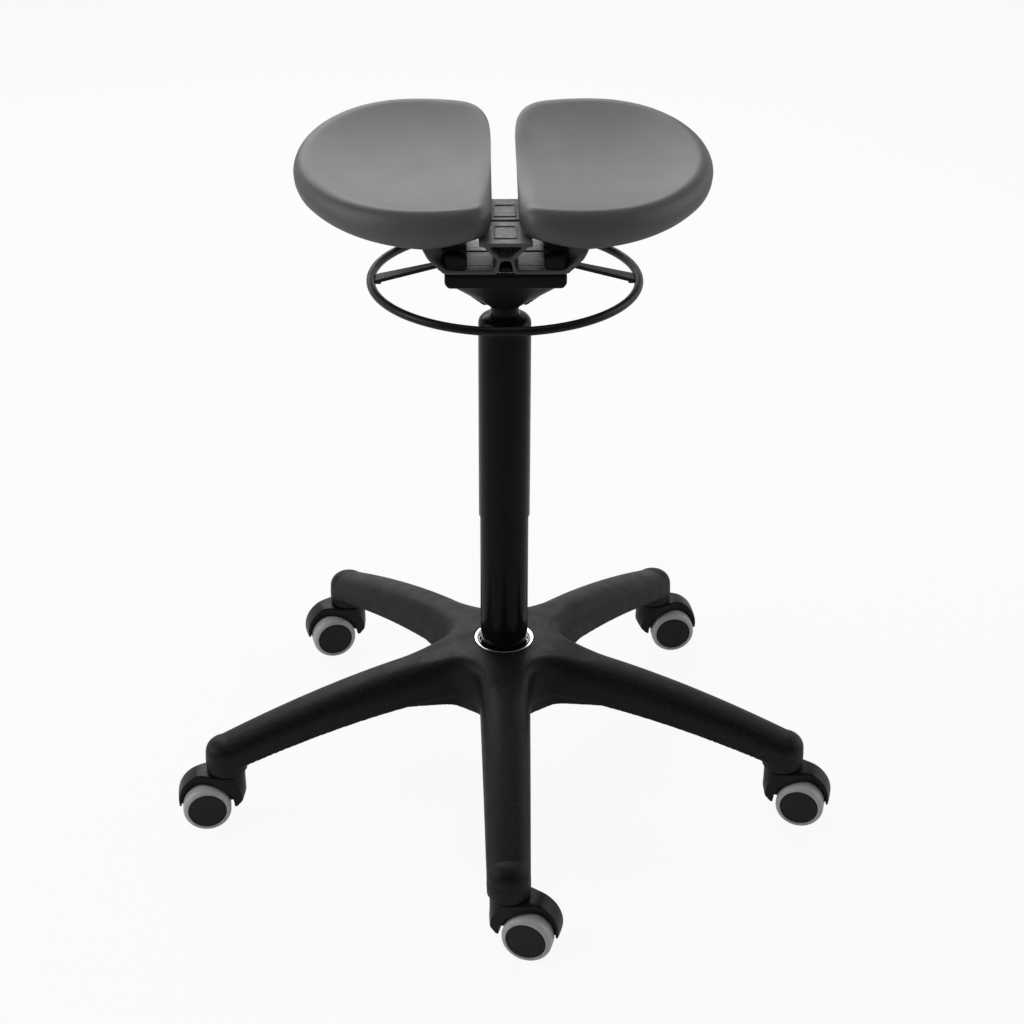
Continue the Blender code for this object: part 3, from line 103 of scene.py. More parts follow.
# Casters
WHEEL_R = 0.0250
WHEEL_OUTER = 0.0240
WHEEL_INNER = 0.0070
DISC_R = 0.0200
HOOD_R = 0.0338
HOOD_RIM_R = 0.0328
HOOD_ARCH = (-0.0044, 0.0044)
HOOD_HALF = 0.0172
HOOD_FRONT_HALF = 0.0110
HOOD_BELOW_AXLE = 0.0010
HOOD_TAPER_X = (-0.0120, 0.0120)
HOOD_CAVITY_R = (0.0264, 0.0284)
HOOD_TAIL_X = (-0.0100, -0.0240)
HOOD_WEB_HALF = 0.0061
NECK_R = 0.0186
NECK_CHAMFER = 0.0100
AXLE_BOSS_R = 0.0080
AXLE_BORE_R = 0.0033
STEM_R = 0.0055
STEM_PLAY = 0.0003
HOOD_STEM_DEPTH = 0.0118


def soft_min(a, b, blend):
    share = np.clip(0.5 + 0.5 * (b - a) / blend, 0.0, 1.0)
    return b * (1 - share) + a * share - blend * share * (1 - share)


def soft_max(a, b, blend):
    return -soft_min(-a, -b, blend)


def ease(value, start, end):
    """Smooth step: 0 at start and 1 at end."""
    share = np.clip((value - start) / (end - start), 0.0, 1.0)
    return share * share * (3 - 2 * share)


def between(low, high, share):
    return low + (high - low) * share


def new_object(name, mesh, sharp=SHARP_ANGLE):
    mesh.shade_smooth()
    if sharp:
        mesh.set_sharp_from_angle(angle=sharp)
    thing = bpy.data.objects.new(name, mesh)
    bpy.context.scene.collection.objects.link(thing)
    return thing


def mesh_of(name, points, faces):
    mesh = bpy.data.meshes.new(name)
    mesh.from_pydata([tuple(point) for point in points], [], [tuple(face) for face in faces])
    mesh.update()
    return mesh


def pull_onto(shape, points, cell, rounds=4):
    """Move points along the shape's slope until they lie on its surface."""
    step = cell * 0.1
    for _ in range(rounds):
        x, y, z = points.T
        value = shape(x, y, z)
        slope = np.stack([
            shape(x + step, y, z) - shape(x - step, y, z),
            shape(x, y + step, z) - shape(x, y - step, z),
            shape(x, y, z + step) - shape(x, y, z - step)], axis=1) / (2 * step)
        length = np.maximum((slope ** 2).sum(axis=1), 0.05)
        move = -slope * (value / length)[:, None]
        points = points + np.clip(move, -cell / 2, cell / 2)
    return points


def skin(name, shape, low, high, cell):
    """Mesh the surface on which shape(x, y, z) is zero; it is negative inside."""
    axes = [np.arange(low[i], high[i] + cell, cell) for i in range(3)]
    value = shape(*np.meshgrid(*axes, indexing="ij"))
    counts = np.array(value.shape) - 1
    inside = value < 0
    corner_sum = np.zeros(tuple(counts), int)
    for i, j, k in np.ndindex(2, 2, 2):
        corner_sum += inside[i:i + counts[0], j:j + counts[1], k:k + counts[2]]
    mixed = (corner_sum > 0) & (corner_sum < 8)
    number = np.full(tuple(counts), -1)
    number[mixed] = np.arange(mixed.sum())
    cells = np.argwhere(mixed)
    total = np.zeros((len(cells), 3))
    hits = np.zeros(len(cells))
    for axis in range(3):
        others = [i for i in range(3) if i != axis]
        for first, second in ((0, 0), (0, 1), (1, 0), (1, 1)):
            start = cells.copy()
            start[:, others[0]] += first
            start[:, others[1]] += second
            end = start.copy()
            end[:, axis] += 1
            a, b = value[tuple(start.T)], value[tuple(end.T)]
            crosses = (a < 0) != (b < 0)
            spot = start.astype(float)
            spot[:, axis] += np.where(crosses, a / np.where(crosses, a - b, 1.0), 0.0)
            total += spot * crosses[:, None]
            hits += crosses
    points = np.array(low) + total / hits[:, None] * cell
    faces = []
    for axis in range(3):
        first, second = [(1, 2), (2, 0), (0, 1)][axis]
        here = np.moveaxis(inside, (axis, first, second), (0, 1, 2))
        table = np.moveaxis(number, (axis, first, second), (0, 1, 2))
        change = here[:-1, 1:-1, 1:-1] != here[1:, 1:-1, 1:-1]
        i, j, k = np.nonzero(change)
        ring = np.stack([table[i, j, k], table[i, j + 1, k], table[i, j + 1, k + 1],
                         table[i, j, k + 1]], axis=1)
        flip = ~here[:-1, 1:-1, 1:-1][i, j, k]
        ring[flip] = ring[flip][:, ::-1]
        faces.append(ring)
    return mesh_of(name, pull_onto(shape, points, cell), np.concatenate(faces))


def arc(centre_r, centre_z, radius, start, end, steps=8):
    """Points of an arc in a turned profile, angles in degrees from +r."""
    angles = [radians(start + (end - start) * step / steps) for step in range(steps + 1)]
    return [(centre_r + radius * cos(angle), centre_z + radius * sin(angle)) for angle in angles]


def turned(name, profile, closed=True, steps=ROUND_STEPS):
    """Revolve (radius, height) points round Z; an open profile ends on the axis."""
    points, rings = [], []
    for radius, height in profile:
        rings.append(len(points))
        if radius < 1e-7:
            points.append((0, 0, height))
            continue
        for step in range(steps):
            angle = tau * step / steps
            points.append((radius * cos(angle), radius * sin(angle), height))
    sizes = [1 if radius < 1e-7 else steps for radius, _ in profile]
    pairs = list(zip(range(len(profile) - 1), range(1, len(profile))))
    if closed:
        pairs.append((len(profile) - 1, 0))
    faces = []
    for low, high in pairs:
        for step in range(steps):
            after = (step + 1) % steps
            face = [rings[low] + step % sizes[low], rings[low] + after % sizes[low],
                    rings[high] + after % sizes[high], rings[high] + step % sizes[high]]
            face = list(dict.fromkeys(face))
            if len(face) > 2:
                faces.append(face)
    mesh = mesh_of(name, points, faces)
    outward(mesh)
    return mesh


def outward(mesh):
    """Make the faces of a closed mesh point out."""
    work = bmesh.new()
    work.from_mesh(mesh)
    bmesh.ops.recalc_face_normals(work, faces=work.faces)
    work.to_mesh(mesh)
    work.free()


def quad(x, half_y, low, high):
    """Rectangular section in the plane at x."""
    return [(x, -half_y, low), (x, half_y, low), (x, half_y, high), (x, -half_y, high)]


def lofted(name, sections):
    """Skin closed loops of equal point counts and cap both ends."""
    count = len(sections[0])
    points = [point for section in sections for point in section]
    faces = [list(range(count)), list(range(len(points) - count, len(points)))]
    for low in range(0, len(points) - count, count):
        for step in range(count):
            after = (step + 1) % count
            faces.append([low + step, low + after, low + count + after, low + count + step])
    mesh = mesh_of(name, points, faces)
    outward(mesh)
    return mesh


def turned_object(name, profile):
    return new_object(name, turned(name, profile))


def bevelled_loft(name, sections, width, segments=2):
    """Lofted piece with rounded edges."""
    thing = new_object(name, lofted(name, sections))
    bevel = thing.modifiers.new("bevel", "BEVEL")
    bevel.width = width
    bevel.segments = segments
    bevel.limit_method = "ANGLE"
    bevel.angle_limit = radians(30)
    bevel.harden_normals = False
    return thing


def place(thing, body, slot, material, *replaced):
    """Give a piece its material and its body, and hide the CAD nodes it stands for."""
    thing.data.materials.clear()
    thing.data.materials.append(material)
    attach(thing, body)
    if replaced:
        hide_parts(*replaced)
    return thing


# Materials

class Finish:
    """A Principled material with procedural detail in object coordinates."""

    def __init__(self, name, colour, roughness, metallic=0.0, specular=0.5):
        self.material = bpy.data.materials.new(name)
        self.material.use_nodes = True
        self.tree = self.material.node_tree
        self.shader = self.tree.nodes["Principled BSDF"]
        self.shader.inputs["Metallic"].default_value = metallic
        self.shader.inputs["Specular IOR Level"].default_value = specular
        self.shader.inputs["Base Color"].default_value = (*colour, 1)
        self.shader.inputs["Roughness"].default_value = roughness
        self.colour = colour
        self.roughness = roughness
        self.place = self.add("ShaderNodeTexCoord").outputs["Object"]
        self.height = None

    def add(self, kind, **settings):
        node = self.tree.nodes.new(kind)
        for key, value in settings.items():
            setattr(node, key, value)
        return node

    def link(self, source, target):
        self.tree.links.new(source, target)

    def noise(self, scale, detail=3.0, stretch=(1, 1, 1)):
        mapping = self.add("ShaderNodeMapping")
        mapping.inputs["Scale"].default_value = stretch
        self.link(self.place, mapping.inputs["Vector"])
        noise = self.add("ShaderNodeTexNoise")
        noise.inputs["Scale"].default_value = scale
        noise.inputs["Detail"].default_value = detail
        self.link(mapping.outputs["Vector"], noise.inputs["Vector"])
        return noise.outputs["Fac"]

    def cells(self, scale, feature="SMOOTH_F1"):
        cells = self.add("ShaderNodeTexVoronoi", feature=feature)
        cells.inputs["Scale"].default_value = scale
        self.link(self.place, cells.inputs["Vector"])
        return cells.outputs["Distance"]

    def spread(self, fac, low, high, start=0.3, end=0.7):
        span = self.add("ShaderNodeMapRange")
        span.inputs["From Min"].default_value = start
        span.inputs["From Max"].default_value = end
        span.inputs["To Min"].default_value = low
        span.inputs["To Max"].default_value = high
        self.link(fac, span.inputs["Value"])
        return span.outputs["Result"]

    def vary_colour(self, fac, darker, lighter, start=0.3, end=0.7):
        """Scale the colour between two shares of itself."""
        ramp = self.add("ShaderNodeValToRGB")
        ramp.color_ramp.elements[0].position = start
        ramp.color_ramp.elements[1].position = end
        ramp.color_ramp.elements[0].color = (*[c * darker for c in self.colour], 1)
        ramp.color_ramp.elements[1].color = (*[c * lighter for c in self.colour], 1)
        self.link(fac, ramp.inputs["Fac"])
        self.link(ramp.outputs["Color"], self.shader.inputs["Base Color"])
        return self

    def vary_roughness(self, fac, low, high):
        self.link(self.spread(fac, low, high), self.shader.inputs["Roughness"])
        return self

    def bump(self, fac, depth, strength=1.0):
        bump = self.add("ShaderNodeBump")
        bump.inputs["Strength"].default_value = strength
        bump.inputs["Distance"].default_value = depth
        self.link(fac, bump.inputs["Height"])
        if self.height is not None:
            self.link(self.height, bump.inputs["Normal"])
        self.height = bump.outputs["Normal"]
        self.link(self.height, self.shader.inputs["Normal"])
        return self


def nylon(name, colour, grain, specular=0.16):
    """Moulded nylon with the fine spark-eroded grain of its tool."""
    finish = Finish(name, colour, 0.48, specular=specular)
    finish.vary_colour(finish.noise(700.0, 2.0), 0.35, 1.9, 0.36, 0.66)
    finish.vary_roughness(finish.noise(60.0, 4.0), 0.42, 0.54)
    finish.bump(finish.noise(1100.0, 2.0), grain)
    finish.bump(finish.noise(520.0, 2.0), grain * 1.4)
    return finish.material


def paint(name, colour, roughness, specular=0.22):
    """Smooth satin powder coat: a faint orange peel."""
    finish = Finish(name, colour, roughness, specular=specular)
    finish.vary_colour(finish.noise(35.0, 3.0), 0.85, 1.15)
    finish.vary_roughness(finish.noise(90.0, 3.0), roughness - 0.05, roughness + 0.05)
    finish.bump(finish.noise(600.0, 1.0), 0.00003)
    return finish.material


def metal(name, colour, roughness, stretch=(1, 1, 1), depth=0.000004):
    finish = Finish(name, colour, roughness, metallic=1.0)
    lines = finish.noise(300.0, 4.0, stretch)
    finish.vary_colour(lines, 0.88, 1.08)
    finish.vary_roughness(lines, roughness - 0.06, roughness + 0.08)
    finish.bump(lines, depth)
    return finish.material


def cast_grey():
    finish = Finish("carrier_cast_metal", (0.078, 0.083, 0.093), 0.44, specular=0.5)
    finish.vary_colour(finish.noise(45.0, 4.0), 0.88, 1.12)
    finish.vary_roughness(finish.noise(160.0, 4.0), 0.40, 0.54)
    finish.bump(finish.noise(900.0, 2.0), 0.00005)
    return finish.material


def seat_skin():
    """Integral foam skin with a fine leather-like grain."""
    finish = Finish("seat_foam_skin", (0.090, 0.093, 0.096), 0.46, specular=0.5)
    finish.vary_colour(finish.noise(900.0, 3.0), 0.90, 1.10)
    finish.vary_roughness(finish.noise(40.0, 3.0), 0.45, 0.48)
    finish.bump(finish.cells(1100.0), 0.00006)
    finish.bump(finish.noise(1500.0, 2.0), 0.00004)
    return finish.material


def soft_tread():
    finish = Finish("wheel_tread_rubber", (0.520, 0.520, 0.508), 0.30, specular=0.5)
    finish.vary_colour(finish.noise(130.0, 4.0), 0.94, 1.05)
    finish.vary_roughness(finish.noise(200.0, 3.0), 0.26, 0.36)
    finish.bump(finish.noise(900.0, 2.0), 0.00003)
    return finish.material


# Black rubber of the mounts and gasket; the same black also fills shaded spots as painted shade.
def black_rubber_and_shade():
    finish = Finish("black_rubber_and_painted_shade", (0.009, 0.009, 0.009), 0.62, specular=0.14)
    finish.vary_colour(finish.noise(200.0, 3.0), 0.7, 1.4)
    finish.bump(finish.noise(1200.0, 2.0), 0.00005)
    return finish.material


BASE_NYLON = nylon("base_black_nylon", (0.0075, 0.0074, 0.0070), 0.00016, 0.20)
HOOD_NYLON = paint("hood_black_nylon", (0.0050, 0.0049, 0.0046), 0.36, 0.20)
HUB_PLASTIC = paint("wheel_disc_plastic", (0.0200, 0.0192, 0.0176), 0.46, 0.20)
SHELL_PLASTIC = nylon("shell_black_plastic", (0.020, 0.020, 0.021), 0.00008)
BLACK_PAINT = paint("column_black_paint", (0.0050, 0.0047, 0.0041), 0.22, 0.10)
HOUSING_PAINT = paint("housing_black_paint", (0.0070, 0.0068, 0.0060), 0.38, 0.14)
ZINC = metal("bright_zinc_steel", (0.80, 0.81, 0.82), 0.20)
SLEEVE_CHROME = metal("sleeve_bright_steel", (0.92, 0.92, 0.93), 0.14, depth=0.000001)
BRUSHED = metal("brushed_plate_steel", (0.85, 0.85, 0.84), 0.24, (0.1, 6.0, 1.0), 0.00001)
RING_PAINT = paint("ring_dark_coat", (0.0070, 0.0067, 0.0060), 0.30, 0.20)
BUSH_ACETAL = paint("guide_bush_acetal", (0.52, 0.51, 0.48), 0.45, 0.45)
CAST_GREY = cast_grey()
SEAT_SKIN = seat_skin()
TREAD = soft_tread()
BLACK_RUBBER_AND_SHADE = black_rubber_and_shade()


# Star base

def base_shape(x, y, z):
    radius = np.hypot(x, y)
    sector = tau / LEG_COUNT
    angle = np.arctan2(y, x) + pi / 2
    folded = np.abs((angle + sector / 2) % sector - sector / 2)
    u, v = radius * np.cos(folded), radius * np.sin(folded)
    share = np.clip((u - LEG_ROOT_R) / (LEG_TIP_R - LEG_ROOT_R), 0.0, 1.0)
    half = between(LEG_ROOT_HALF, LEG_TIP_HALF, share)
    leg_top = between(*LEG_TOP_Z, share ** LEG_TOP_POWER)
    top = between(HUB_TOP_Z, leg_top, ease(radius, HUB_FLAT_R, HUB_BLEND_R))
    low = between(*LEG_LOW_Z, share ** LEG_LOW_POWER)
    gusset_share = np.clip((GUSSET_END_R - u) / (GUSSET_END_R - LEG_ROOT_R), 0.0, 1.0)
    gusset_low = low - (LEG_LOW_Z[0] - GUSSET_LOW_Z) * gusset_share
    corner_share = (HUB_CORNER_U - LEG_ROOT_R) / (LEG_TIP_R - LEG_ROOT_R)
    corner_half = between(LEG_ROOT_HALF, LEG_TIP_HALF, corner_share)
    corner_v = HUB_CORNER_U * np.tan(sector / 2)
    fillet = corner_v - corner_half
    plan = np.where(u < HUB_CORNER_U, fillet - np.hypot(u - HUB_CORNER_U, v - corner_v), v - half)
    from_stem = np.hypot(v, u - LEG_TIP_R)
    plan = np.where(u > LEG_TIP_R, from_stem - LEG_TIP_HALF, plan)
    edge = half * between(1 - HUB_EDGE_SHARE, 1.0, ease(radius, *HUB_EDGE_R))
    rise = np.minimum(edge, LEG_CROWN_SHARE * (top - low))
    across = np.clip(plan + edge, 0.0, None) / edge
    up = np.clip(z - (top - rise), 0.0, None) / rise
    crown = (across ** LEG_CROWN_POWER + up ** LEG_CROWN_POWER) ** (1 / LEG_CROWN_POWER)
    outer = (crown - 1) * np.minimum(edge, rise)
    body = soft_max(outer, low - z, 1.0 * MM)
    body = np.minimum(body, soft_max(outer + GUSSET_SETBACK, gusset_low - z, 1 * MM))
    boss = np.maximum(from_stem - LEG_TIP_HALF, z - (LEG_TOP_Z[1] - LEG_TIP_HALF))
    boss = soft_max(boss, BOSS_LOW_Z - z, 0.8 * MM)
    body = soft_min(body, boss, 1 * MM)
    disc = soft_max(radius - HUB_DISC_R, HUB_DISC_Z[0] - z, 6 * MM)
    disc = np.maximum(disc, z - HUB_DISC_Z[1])
    body = soft_min(body, disc, 5 * MM)
    core = np.maximum(radius - HUB_CORE_R, np.maximum(HUB_LOW_Z - z, z - HUB_DISC_Z[1]))
    body = soft_min(body, core, 1.5 * MM)
    cavity = np.maximum(outer + LEG_WALL, u - (LEG_TIP_R - LEG_TIP_HALF))
    cavity = soft_max(cavity, HUB_DISC_R - LEG_WALL - radius, 5 * MM)
    for rib_share in LEG_RIB_SHARES:
        rib_u = between(LEG_ROOT_R, LEG_TIP_R, rib_share) + LEG_RIB_HALF
        rib = np.maximum(np.abs(u - rib_u) - LEG_RIB_HALF, low + LEG_RIB_RECESS - z)
        cavity = soft_max(cavity, -rib, 1.2 * MM)
    body = soft_max(body, -cavity, 1.2 * MM)
    bore = np.minimum(radius - HUB_BORE_R, np.maximum(radius - HUB_MOUTH_R, HUB_MOUTH_Z - z))
    body = soft_max(body, -bore, 0.8 * MM)
    socket = np.maximum(from_stem - STEM_R - STEM_PLAY, z - BOSS_LOW_Z - STEM_SOCKET_DEPTH)
    return np.maximum(body, -socket)


def make_star_base():
    reach = LEG_TIP_R + LEG_TIP_HALF + 6 * MM
    mesh = skin("star_base_moulding", base_shape, (-reach, -reach, BOSS_LOW_Z - 5 * MM),
                (reach, reach, HUB_TOP_Z + 5 * MM), 1.8 * MM)
    base = new_object("star_base_moulding", mesh, sharp=None)
    place(base, "base", "base_nylon", BASE_NYLON, "star_base")


# Column

COLLAR_R = 0.0134
ROD_HOLE_R = 0.0053
BUTTON_HOLE_R = 0.0038


def make_column():
    low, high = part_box("stand_tube")
    radius = high.x
    wall, skirt_z, edge = 1.8 * MM, 0.1600, 4.5 * MM
    bore, neck = radius - wall, 21.0 * MM
    floor_z = low.z + 3 * MM
    profile = [(ROD_HOLE_R, low.z), (neck, low.z), (neck, skirt_z)]
    profile += arc(radius - edge, skirt_z + edge, edge, -80, 0)
    profile += arc(radius - wall / 2, high.z - wall / 2, wall / 2, 0, 90, 4)
    profile += [(bore, high.z), (bore, skirt_z + 2 * edge), (neck - wall, skirt_z),
                (neck - wall, floor_z), (ROD_HOLE_R, floor_z)]
    tube = turned_object("lower_column_tube", profile)
    place(tube, "base", "black_steel", BLACK_PAINT, "stand_tube")

    low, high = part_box("base_sleeve")
    radius = high.x
    outer, bore, foot = 28.3 * MM, 23.8 * MM, 22.8 * MM
    rim, hollow, mouth = 0.5 * MM, 4.5 * MM, 1.0 * MM
    flange_z = high.z - 7.7 * MM
    lip_z = HUB_TOP_Z + 0.3 * MM
    profile = [(foot, low.z), (outer, low.z), (outer, flange_z), (radius, flange_z)]
    profile += arc(radius - rim, lip_z - rim, rim, 0, 90, 5)
    profile += arc(radius - 1.3 * MM, lip_z - hollow, hollow, 90, 150, 5)
    profile += arc(bore + mouth, high.z - 3.5 * MM, mouth, 90, 180, 4)
    sleeve = turned_object("hub_taper_sleeve", profile)
    place(sleeve, "base", "zinc_steel", SLEEVE_CHROME, "base_sleeve")

    low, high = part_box("cover_tube")
    radius = high.x
    wall, shoulder, hole, foot = 1.0 * MM, 8.5 * MM, 14.3 * MM, 0.8 * MM
    lid, crest = high.z - 3 * MM, high.z + 1.8 * MM
    profile = [(radius - wall, low.z)] + arc(radius - foot, low.z + foot, foot, -90, 0, 6)
    profile += arc(radius - shoulder, crest - shoulder, shoulder, 0, 82, 14)
    profile += arc(COLLAR_R + 1.4 * MM, crest + 1.4 * MM, 0.7 * MM, -30, 100, 5)
    profile += [(COLLAR_R, crest + 1.8 * MM), (COLLAR_R, high.z + 1 * MM), (hole, high.z - 1 * MM)]
    profile += [(hole, lid), (radius - wall - shoulder / 2, lid), (radius - wall, lid - shoulder)]
    cover = turned_object("upper_column_cover", profile)
    place(cover, "upper", "black_steel", BLACK_PAINT, "cover_tube")

    low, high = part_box("gas_cylinder")
    radius = high.x
    wall, foot, top_r = 3 * MM, 2 * MM, 13 * MM
    taper_z, roof_z, floor_z = high.z - 35 * MM, high.z - 60 * MM, low.z + 8 * MM
    profile = [(ROD_HOLE_R, low.z)] + arc(radius - foot, low.z + foot, foot, -90, 0, 6)
    profile += [(radius, taper_z), (top_r, high.z), (BUTTON_HOLE_R, high.z), (BUTTON_HOLE_R, roof_z),
                (radius - wall, roof_z), (radius - wall, floor_z), (ROD_HOLE_R, floor_z)]
    cylinder = turned_object("gas_spring_cylinder", profile)
    place(cylinder, "upper", "black_steel", BLACK_PAINT, "gas_cylinder")


# Casters

def hood_shape(x, y, z):
    """Local frame: the axle's middle is the origin, +x points away from the stem."""
    trail, top = CASTER_TRAIL, HOOD_TOP_Z - AXLE_Z
    from_axle = np.hypot(x, z)
    side = np.abs(y)
    barrel_r = between(HOOD_R, HOOD_RIM_R, (side / HOOD_HALF) ** 2)
    from_arch = np.hypot(x - HOOD_ARCH[0], z - HOOD_ARCH[1])
    half = between(HOOD_HALF, HOOD_FRONT_HALF, ease(x, *HOOD_TAPER_X))
    barrel = soft_max(from_arch - barrel_r, side - half, 1.4 * MM)
    neck = np.hypot(x + trail, y) - NECK_R
    body = soft_min(barrel, neck, 6 * MM)
    body = soft_max(body, z - top, 3 * MM)
    body = soft_max(body, -HOOD_BELOW_AXLE - z, 1.0 * MM)
    slant = (-x - trail - NECK_R - HOOD_BELOW_AXLE - z + NECK_CHAMFER) * 0.707
    body = soft_max(body, slant, 1.5 * MM)
    cavity_r = between(*HOOD_CAVITY_R, ease(x, *HOOD_TAIL_X))
    cavity = np.maximum(from_axle - cavity_r, HOOD_WEB_HALF - side)
    body = soft_max(body, -cavity, 1.0 * MM)
    boss = np.maximum(from_axle - AXLE_BOSS_R, side - HOOD_WEB_HALF + 0.3 * MM)
    body = soft_min(body, boss, 1.0 * MM)
    bore = from_axle - AXLE_BORE_R
    stem_hole = np.hypot(x + trail, y) - STEM_R - STEM_PLAY
    stem_hole = np.maximum(stem_hole, top - HOOD_STEM_DEPTH - z)
    return np.maximum(np.maximum(body, -bore), -stem_hole)


def wheel_profile(side):
    """Outline of tread and disc as (radius, distance along the axle)."""
    outer, inner = WHEEL_OUTER, WHEEL_INNER
    shoulder, edge = 5.0 * MM, 2.0 * MM
    tread = [(DISC_R + 0.1 * MM, inner)] + arc(WHEEL_R - edge, inner + edge, edge, -90, 0, 6)
    tread += arc(WHEEL_R - shoulder, outer - shoulder, shoulder, 0, 90, 12)
    tread += arc(DISC_R + 0.9 * MM, outer - 0.8 * MM, 0.8 * MM, 90, 180, 5)
    floor = 19.3 * MM
    disc = [(0, floor), (AXLE_BORE_R, floor), (AXLE_BORE_R, inner), (DISC_R, inner)]
    disc += arc(DISC_R - 1.0 * MM, outer - 2.0 * MM, 1.0 * MM, 0, 90, 5)
    for step in range(1, 9):
        radius = (DISC_R - 1.0 * MM) * (1 - step / 8)
        disc.append((radius, outer - 1.0 * MM + 0.7 * MM * (1 - (radius / DISC_R) ** 2)))
    return ([(radius, side * along) for radius, along in tread],
            [(radius, side * along) for radius, along in disc])


def turned_wheel(name, side):
    tread, disc = wheel_profile(side)
    meshes = []
    for part, profile, closed in (("tread", tread, True), ("disc", disc, False)):
        mesh = turned(f"{name}_{part}", profile, closed=closed, steps=96)
        mesh.transform(Matrix.Rotation(-pi / 2, 4, "X"))
        meshes.append(mesh)
    return meshes


def make_casters():
    back, wide = CASTER_TRAIL + NECK_R + 4 * MM, NECK_R + 4 * MM
    hood_mesh = skin("caster_hood", hood_shape, (-back, -wide, -6 * MM),
                     (HOOD_R + 2 * MM, wide, 41 * MM), 1.0 * MM)
    for label in ("front", "front_right", "rear_right", "rear_left", "front_left"):
        caster = f"{label}_caster"
        hinge = joints[f"{caster}_left_roll"]
        across = Vector(hinge["axis"])
        heading = Vector((across.y, -across.x, 0))
        spot = Matrix((heading, across, Vector((0, 0, 1)))).transposed().to_4x4()
        spot.translation = Vector(hinge["pos_m"])
        mesh = hood_mesh.copy()
        mesh.transform(spot)
        hood = new_object(f"{caster}_hood_shell", mesh, sharp=None)
        place(hood, caster, "hood_nylon", HOOD_NYLON, f"{caster}_hood")
        for wheel, side in (("left", 1), ("right", -1)):
            body = f"{caster}_{wheel}_wheel"
            tread, disc = turned_wheel(body, side)
            tread.transform(spot)
            disc.transform(spot)
            place(new_object(f"{body}_tread", tread), body, "wheel_tread", TREAD, body)
            place(new_object(f"{body}_disc", disc), body, "wheel_tread", HUB_PLASTIC)


FRONT_AXLE = Vector(joints["front_caster_left_roll"]["pos_m"])
CASTER_TRAIL = (FRONT_AXLE.xy - Vector((0, -LEG_TIP_R))).length
AXLE_Z = FRONT_AXLE.z
HOOD_TOP_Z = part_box("front_caster_hood")[1].z


# Seat mechanism

HOUSING_HALF = (0.0583, 0.0560)
HOUSING_Z = (0.5830, 0.5960)
FUNNEL_HALF = (0.0562, 0.0540)
FUNNEL_NECK_R = 0.0155
FUNNEL_NECK_Z = 0.5440
HOUSING_NECK_R = 0.0129
STRAP_X = (0.0195, 0.0570)
STRAP_Z = (0.5480, 0.5860)
STRAP_HALF_Y = (0.0100, 0.0360)
SLOT_HALF_Y = 0.0064
SLOT_START_X = 0.0440
SLOT_LOW_Z = 0.5755
SOCKET_R = 0.0116
POCKET_HALF = (0.0455, 0.0330)
POCKET_LOW_Z = 0.5818
NECK_LOW_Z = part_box("mechanism_housing")[0].z


def housing_shape(x, y, z):
    side, deep = np.abs(x), np.abs(y)
    low, high = HOUSING_Z
    box = soft_max(side - HOUSING_HALF[0], deep - HOUSING_HALF[1], 4 * MM)
    box = soft_max(box, (side - HOUSING_HALF[0] + low - z + 4 * MM) * 0.707, 1 * MM)
    box = soft_max(box, np.maximum(low - z, z - high), 1.5 * MM)
    share = np.clip((z - FUNNEL_NECK_Z) / (low + 1 * MM - FUNNEL_NECK_Z), 0.0, 1.0)
    half_x = between(FUNNEL_NECK_R, FUNNEL_HALF[0], share)
    half_y = between(FUNNEL_NECK_R, FUNNEL_HALF[1], share)
    power = 2 + 7 * share ** 1.2
    spread = ((side / half_x) ** power + (deep / half_y) ** power) ** (1 / power)
    funnel = (spread - 1) * np.minimum(half_x, half_y) * 0.8
    funnel = np.maximum(funnel, np.maximum(FUNNEL_NECK_Z - z, z - low - 1 * MM))
    neck = np.maximum(np.hypot(x, y) - HOUSING_NECK_R, np.maximum(NECK_LOW_Z - z, z - low))
    funnel = soft_min(funnel, neck, 0.8 * MM)
    strap_share = (z - STRAP_Z[0]) / (STRAP_Z[1] - STRAP_Z[0])
    from_strap = np.abs(side - between(*STRAP_X, strap_share)) * 0.72
    strap = np.maximum(from_strap - 1.0 * MM, deep - between(*STRAP_HALF_Y, share))
    strap = soft_max(strap, np.maximum(STRAP_Z[0] - z, z - STRAP_Z[1]), 1 * MM)
    body = soft_min(box, funnel, 2 * MM)
    body = np.minimum(body, strap)
    slot = np.maximum(deep - SLOT_HALF_Y, np.maximum(SLOT_START_X - side, SLOT_LOW_Z - z))
    socket = np.hypot(x, y) - SOCKET_R
    pocket = np.maximum(side - POCKET_HALF[0], deep - POCKET_HALF[1])
    pocket = np.maximum(pocket, POCKET_LOW_Z - z)
    return np.maximum(body, -np.minimum(np.minimum(slot, pocket), socket))


def make_housing():
    mesh = skin("mechanism_box", housing_shape, (-62 * MM, -62 * MM, 528 * MM),
                (62 * MM, 62 * MM, 600 * MM), 1.2 * MM)
    housing = new_object("mechanism_box", mesh, sharp=radians(50))
    place(housing, "upper", "black_steel", HOUSING_PAINT, "mechanism_housing")


PLATE_INSET = 0.0015
PLATE_STEEL = 0.0009
SEAM_RIB_HALF = 0.0019
PLATE_GROOVES = ((-0.0450, 0.0007, 0.0004), (-0.0370, 0.0007, 0.0004), (0.0, 0.0022, 0.0007),
                 (0.0370, 0.0007, 0.0004), (0.0450, 0.0007, 0.0004))
# Section of a black block along the plate's centre, under the carrier bridge where shade falls:
# painted shade.
PLATE_SHADE_BLOCK = ((-0.0057, 0.0001), (0.0057, 0.0001), (0.0057, 0.0030), (0.0040, 0.0054),
               (-0.0040, 0.0054), (-0.0057, 0.0030))


